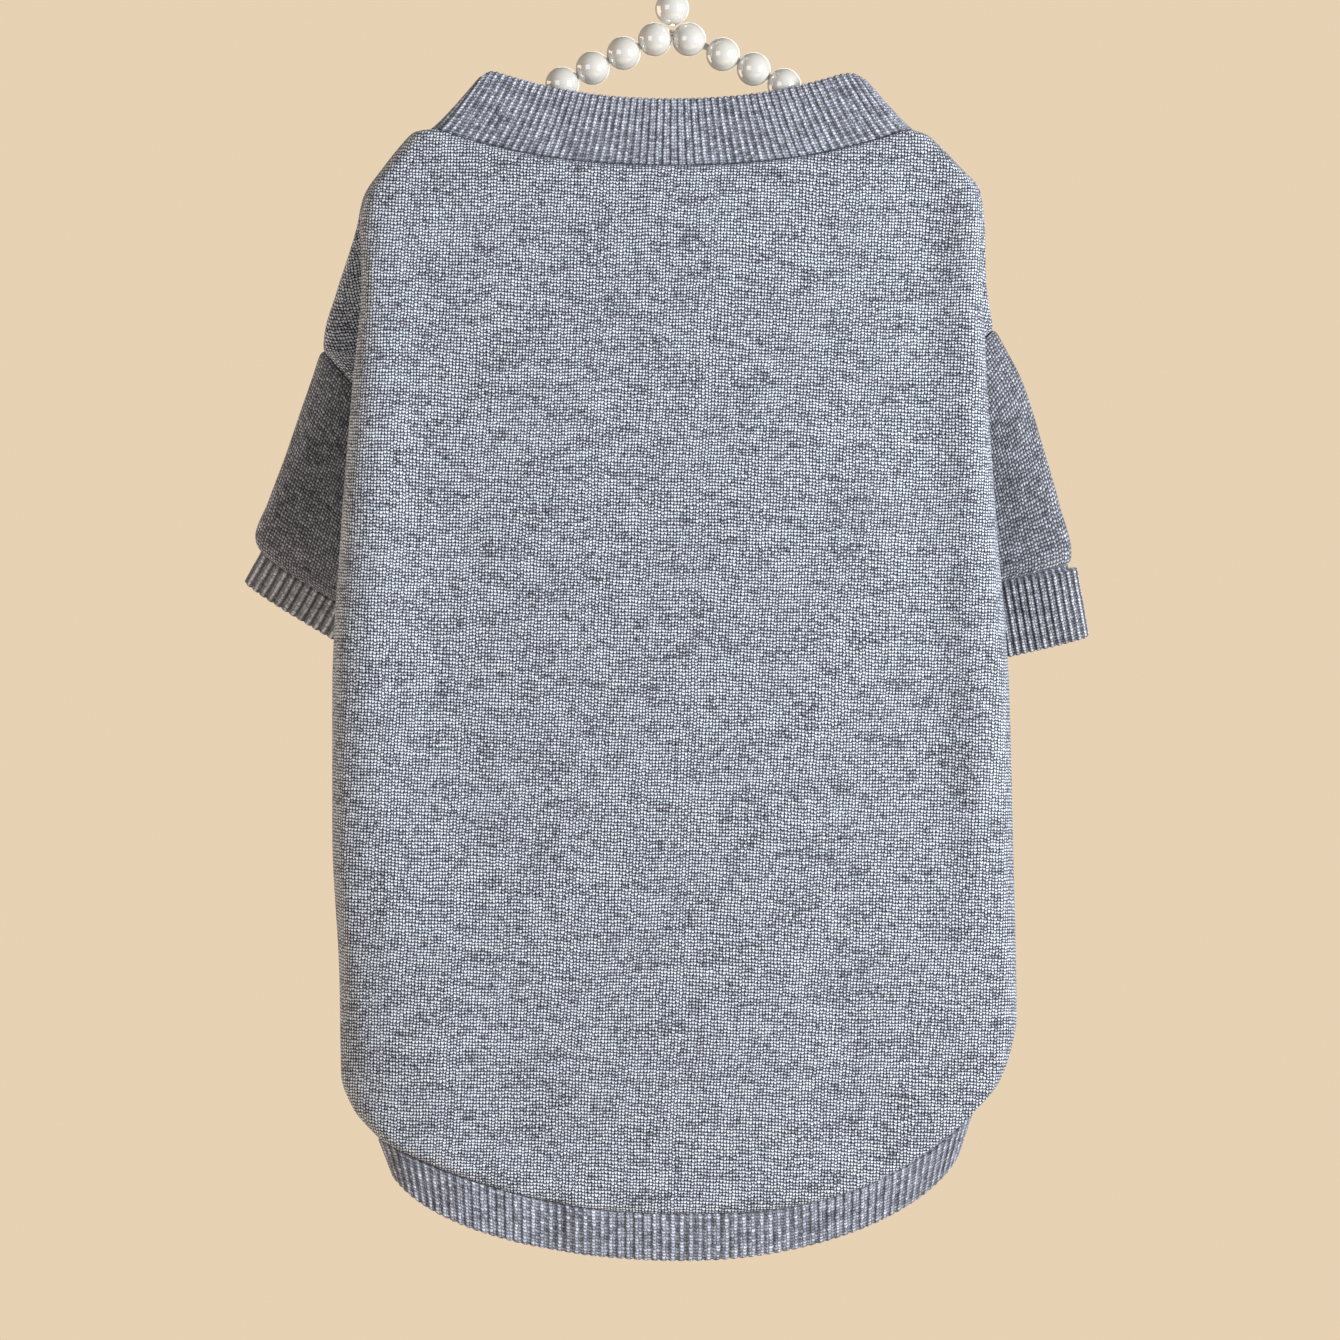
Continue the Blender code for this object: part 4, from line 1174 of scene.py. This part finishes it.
# soft folds that run down a sleeve. turn: where round it. drift: how far round it moves on its
# way down. top, bottom: the levels that it runs between.
Fold = namedtuple("Fold", "turn drift top bottom wide high")
SLEEVE_FOLDS = {
    -1: [
        Fold(0.10, -0.02, -0.1, 1.0, 0.035, 0.8),
        Fold(0.19, 0.02, 0.0, 0.9, 0.05, -0.9),
        Fold(0.32, 0.05, 0.1, 1.1, 0.05, 0.8),
        Fold(0.66, -0.04, 0.2, 1.1, 0.06, 0.9),
        Fold(0.84, 0.03, 0.0, 0.8, 0.05, -0.8),
    ],
    1: [
        Fold(0.12, 0.03, 0.1, 1.0, 0.05, 0.5),
        Fold(0.25, -0.03, 0.0, 0.8, 0.05, -0.6),
        Fold(0.62, 0.04, 0.1, 1.0, 0.06, 0.8),
        Fold(0.80, -0.05, 0.0, 0.9, 0.05, -0.7),
    ],
}


def sleeve_rows(side):
    """A sleeve's rows, which ease from its armhole into flattened sections down to the cuff."""
    table = SLEEVE[side]
    start_axis, end_axis = tube_axis(table, side), tube_axis(CUFF[side], side)
    root = armhole_ring(side)
    count = len(root)
    plain = [flattened(table[0], side, i / count, start_axis) for i in range(count)]
    rows = []
    for level in SLEEVE_ROWS:
        section = between(table, level)
        axis = start_axis.lerp(end_axis, level**2)
        ease = (1 - level) ** 4
        row = []
        for i, start in enumerate(root):
            row.append(flattened(section, side, i / count, axis) + (start - plain[i]) * ease)
        rows.append(row)
    return rows


def folded_sleeve(side, rows):
    """A sleeve's rows with its soft folds, and the cloth turned under at its two seams."""
    count = len(rows[0])
    length = sum((below[0] - above[0]).length for above, below in zip(rows, rows[1:]))
    lifted = []
    for level, row, line in zip(SLEEVE_ROWS, rows, facings(rows)[0]):
        moved = []
        for i, (point, facing) in enumerate(zip(row, line)):
            lift = 0.0
            for fold in SLEEVE_FOLDS[side]:
                t = (level - fold.top) / (fold.bottom - fold.top)
                if 0 < t < 1:
                    apart = (i / count - fold.turn - fold.drift * t + 0.5) % 1 - 0.5
                    lift += fold.high * math.sin(math.pi * t) * hump(apart, fold.wide)
            lift += seam_lift(level * length, tuck=0.45)
            lift += seam_lift((1 - level) * length, puff=0.55, tuck=0.85)
            moved.append(point + facing * lift)
        lifted.append(moved)
    return lifted


# the jersey again in the darker colours of painted shade
shaded_sleeve_jersey = heather_material(
    "shaded_sleeve_jersey", SHADED_SLEEVE_DARK, SHADED_SLEEVE_LIGHT, WALE, COURSE,
    streak=0.4, cloud=0.5, pit_shading=(0.25, 2.45),
)


def sleeve_cloth(rows):
    """Where each point of a sleeve lies on its flat cloth, which is cut at the underarm and
    measured from the outer fold and down from the armhole."""
    half = len(rows[0]) / 2
    cloth, down = [], 0.0
    for r, row in enumerate(rows):
        if r:
            steps = [(point - above).length for point, above in zip(row, rows[r - 1])]
            down += sum(steps) / len(steps)
        around = [0.0]
        for start, end in zip(row, row[1:] + row[:1]):
            around.append(around[-1] + (end - start).length)
        cloth.append([(far - around[-1] if i > half else far, -down) for i, far in enumerate(around)])
    return cloth


def add_sleeve(side, word):
    """One sleeve, in the body's jersey darkened with painted shade."""
    rows = folded_sleeve(side, sleeve_rows(side))
    sleeve = add_shell(
        f"{word}_sleeve_fleece", rows, sleeve_cloth(rows), JERSEY_WALL, closed=True, flip=side > 0
    )
    sleeve.data.materials.append(shaded_sleeve_jersey)
    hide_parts(f"sleeve_{word}")


add_sleeve(-1, "left")
add_sleeve(1, "right")

# ---- The cuffs ----
# Rib bands folded double and sewn to the sleeve ends with the fold outwards. The left one is
# stretched and leans back, and the right one hangs straight and stands a little proud.
CUFF_STEPS = 13
CUFF_RIBS = {-1: 42, 1: 50}
CUFF_PRESSED = 0.65  # share of the seam allowance that has no room where a cuff is flat

# the rib in the sleeves' darker colours, painted shade for the cuffs at the sleeve ends
shaded_cuff_rib = heather_material(
    "shaded_cuff_rib", SHADED_SLEEVE_DARK, SHADED_SLEEVE_LIGHT, RIB_PITCH / 2, RIB_COURSE,
    streak=0.25, cloud=0.36, pit_shading=(0.9, 3.3), groove=0.78,
)


def add_cuff(side, word):
    """One cuff, its ribs spaced evenly round the sleeve's end."""
    table = CUFF[side]
    axis = tube_axis(table, side)
    count = CUFF_RIBS[side] * COLUMNS_PER_RIB
    dense = 4 * count  # points round a ring before its columns are spaced evenly
    rows, marks = [], None
    for step in range(CUFF_STEPS + 1):
        section = between(table, step / CUFF_STEPS)
        ring = [flattened(section, side, i / dense, axis) for i in range(dense)]
        if marks is None:
            marks = ring_marks(ring, count)
        rows.append(at_marks(ring, marks))
    normals = facings(rows)[0][0]
    flat_facing = normals[count // 4]
    room = [1 - CUFF_PRESSED * abs(normal.dot(flat_facing)) for normal in normals]
    cuff = add_rib_band(f"{word}_shaded_cuff_rib", rows, shaded_cuff_rib, room)
    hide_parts(f"cuff_{word}")


add_cuff(-1, "left")
add_cuff(1, "right")

# ---- The hanger's wires ----
# Bright plated steel wire: one length bent into the arms and one into the hook and its stem.
# Both stay as they are in the frame.
WIRE_DULL = (0.78, 0.77, 0.75, 1)
WIRE_BRIGHT = (0.93, 0.92, 0.91, 1)

wire, wire_tree, wire_shader = new_material("plated_wire")
wire_spot = place_node(wire_tree, "TexCoord").outputs["Object"]
drawing = place_node(
    wire_tree, "TexNoise", {"Vector": wire_spot, "Scale": 900.0, "Detail": 3.0}
).outputs[0]
fill_inputs(wire_tree, wire_shader, {
    "Base Color": mixed_colour(wire_tree, drawing, WIRE_DULL, WIRE_BRIGHT),
    "Roughness": maths(wire_tree, "MULTIPLY_ADD", drawing, 0.22, 0.10),
    "Metallic": 1.0,
})
for name in ("hook_wire", "arm_wire"):
    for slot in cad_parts[name].material_slots:
        slot.material = wire

# ---- The pearl beads ----
# Moulded plastic beads with a hole through each, dipped in a glossy ivory pearl coat and
# strung on the wires.
BORE_SHARE = 0.27  # bore against bead, in width
COATED = 1.02  # a dipped bead against the bare one, in width
BEAD_TURNS, BEAD_STEPS = 40, 22
LIP_ANGLE = 50.0  # degrees; the coat's edge round the bore stays sharp
PEARL_LOW = (0.65, 0.65, 0.625, 1)
PEARL_HIGH = (0.73, 0.73, 0.70, 1)
# painted reflection: the warm tan that a bead's edges show, as of a wall beside it
PEARL_RIM_REFLECTION = (0.68, 0.65, 0.59, 1)

pearl, pearl_tree, pearl_shader = new_material("pearl")
pearl_spot = place_node(pearl_tree, "TexCoord").outputs["Object"]
bloom = place_node(
    pearl_tree, "TexNoise", {"Vector": pearl_spot, "Scale": 260.0, "Detail": 2.0}
).outputs[0]
# the painted rim reflection is mixed in towards each bead's edges
rim_reflection_share = place_node(pearl_tree, "LayerWeight", {"Blend": 0.25}).outputs["Facing"]
ivory = mixed_colour(pearl_tree, bloom, PEARL_LOW, PEARL_HIGH)
fill_inputs(pearl_tree, pearl_shader, {
    "Base Color": mixed_colour(pearl_tree, rim_reflection_share, ivory, PEARL_RIM_REFLECTION),
    "Roughness": maths(pearl_tree, "MULTIPLY_ADD", bloom, 0.1, 0.38),
    "Specular IOR Level": 0.2,
    "Coat Weight": 1.0,
    "Coat Roughness": 0.02,
    "Coat IOR": 2.4,
})


def bead_points(radius):
    """The outline of a bead from one lip of its bore round to the other, out from the bore's
    axis and along it."""
    lip = math.asin(BORE_SHARE)
    outline = []
    for k in range(BEAD_STEPS + 1):
        angle = lip + (math.pi - 2 * lip) * k / BEAD_STEPS
        outline.append((radius * math.sin(angle), radius * math.cos(angle)))
    return outline


def bead_axis(name, centres):
    """The way that a bead's bore runs: up the stem, or from the next bead on the same arm."""
    if name == "bead_stem":
        return Vector((0, 0, 1))
    centre = centres[name]
    others = [c for n, c in centres.items() if n not in (name, "bead_stem")]
    same_arm = [c for c in others if (c.x > 0) == (centre.x > 0)]
    return (min(same_arm, key=lambda c: (c - centre).length) - centre).normalized()


def add_beads(names):
    """Every bead in one mesh, each turned about its bore and set in its own place. The last
    face of each step round joins the two lips, and makes the bore's wall."""
    centres = {name: sum(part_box(name), Vector()) / 2 for name in names}
    points, faces = [], []
    for name in names:
        low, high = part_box(name)
        turn = bead_axis(name, centres).to_track_quat("Z", "Y")
        outline = bead_points((high - low).y / 2 * COATED)
        first = len(points)
        count = len(outline)
        for k in range(BEAD_TURNS):
            angle = 2 * math.pi * k / BEAD_TURNS
            for reach, rise in outline:
                spot = Vector((reach * math.cos(angle), reach * math.sin(angle), rise))
                points.append(centres[name] + turn @ spot)
        for k in range(BEAD_TURNS):
            here, following = first + k * count, first + (k + 1) % BEAD_TURNS * count
            for j in range(count):
                on = (j + 1) % count
                faces.append((here + j, following + j, following + on, here + on))
    mesh = bpy.data.meshes.new("pearl_beads")
    mesh.from_pydata(points, [], faces)
    mesh.shade_smooth()
    mesh.set_sharp_from_angle(angle=math.radians(LIP_ANGLE))
    mesh.materials.append(pearl)
    beads = place_object("pearl_beads", mesh)
    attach(beads, "root")
    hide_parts(*names)


add_beads(sorted(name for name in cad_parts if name.startswith("bead_")))

# ---- The studio ----
# A pale floor well below the hanging garment, a warm pale surround, one broad soft light from
# the right and front, a weak one to fill the left, a little warm light off a wall there, and
# one behind for the belly side.
FLOOR_DOWN, FLOOR_REACH = 0.55, 1.15  # metres under the hem, and from the middle
FLOOR_SIDES = 64
FLOOR_DARK, FLOOR_PALE = (0.58, 0.50, 0.41, 1), (0.62, 0.54, 0.45, 1)
SURROUND = (0.80, 0.64, 0.455, 1)
SURROUND_LIGHT, SURROUND_POWER = (0.95, 0.83, 0.70, 1), 0.27

floor_points = []
for k in range(FLOOR_SIDES):
    angle = 2 * math.pi * k / FLOOR_SIDES
    floor_points.append((FLOOR_REACH * math.cos(angle), FLOOR_REACH * math.sin(angle), 0))
floor_mesh = bpy.data.meshes.new("floor")
floor_mesh.from_pydata(floor_points, [], [tuple(range(FLOOR_SIDES))])
floor = place_object("floor", floor_mesh)
floor.location.z = cad_box[0].z - FLOOR_DOWN
pale, pale_tree, pale_shader = new_material("pale_floor")
grain = place_node(pale_tree, "TexNoise", {"Scale": 40.0, "Detail": 4.0}).outputs[0]
pale_tint = mixed_colour(pale_tree, grain, FLOOR_DARK, FLOOR_PALE)
fill_inputs(pale_tree, pale_shader, {"Base Color": pale_tint, "Roughness": 0.9})
floor.data.materials.append(pale)

surround = bpy.data.worlds.new("surround")
surround.use_nodes = True
bpy.context.scene.world = surround
world_tree = surround.node_tree
seen = world_tree.nodes["Background"]
seen.inputs["Color"].default_value = SURROUND
lit = place_node(world_tree, "Background", {"Color": SURROUND_LIGHT, "Strength": SURROUND_POWER})
by_eye = place_node(world_tree, "LightPath").outputs["Is Camera Ray"]
mixed = place_node(world_tree, "MixShader", {0: by_eye, 1: lit.outputs[0], 2: seen.outputs[0]})
world_tree.links.new(mixed.outputs[0], world_tree.nodes["World Output"].inputs["Surface"])

Light = namedtuple("Light", "name x y z wide tall watts colour")
LIGHTS = [
    Light("key", 1.02, -0.84, -0.06, 0.62, 0.72, 26.0, (0.965, 0.985, 1.0)),
    Light("fill", -1.3, -1.9, 0.1, 1.2, 1.2, 7.5, (1.0, 0.97, 0.94)),
    Light("bounce", -1.1, 0.3, -0.25, 0.9, 0.9, 7.4, (1.0, 0.80, 0.60)),
    Light("rear", 0.5, 1.8, 0.3, 1.4, 1.4, 11.0, (0.97, 0.98, 1.0)),
]
aim = Vector((0, 0, (cad_box[0].z + cad_box[1].z) / 2))
for light in LIGHTS:
    lamp = bpy.data.lights.new(light.name, "AREA")
    lamp.shape, lamp.size, lamp.size_y = "RECTANGLE", light.wide, light.tall
    lamp.energy, lamp.color = light.watts, light.colour
    stand = place_object(light.name, lamp)
    stand.location = (light.x, light.y, light.z)
    stand.rotation_euler = (aim - stand.location).to_track_quat("-Z", "Y").to_euler()
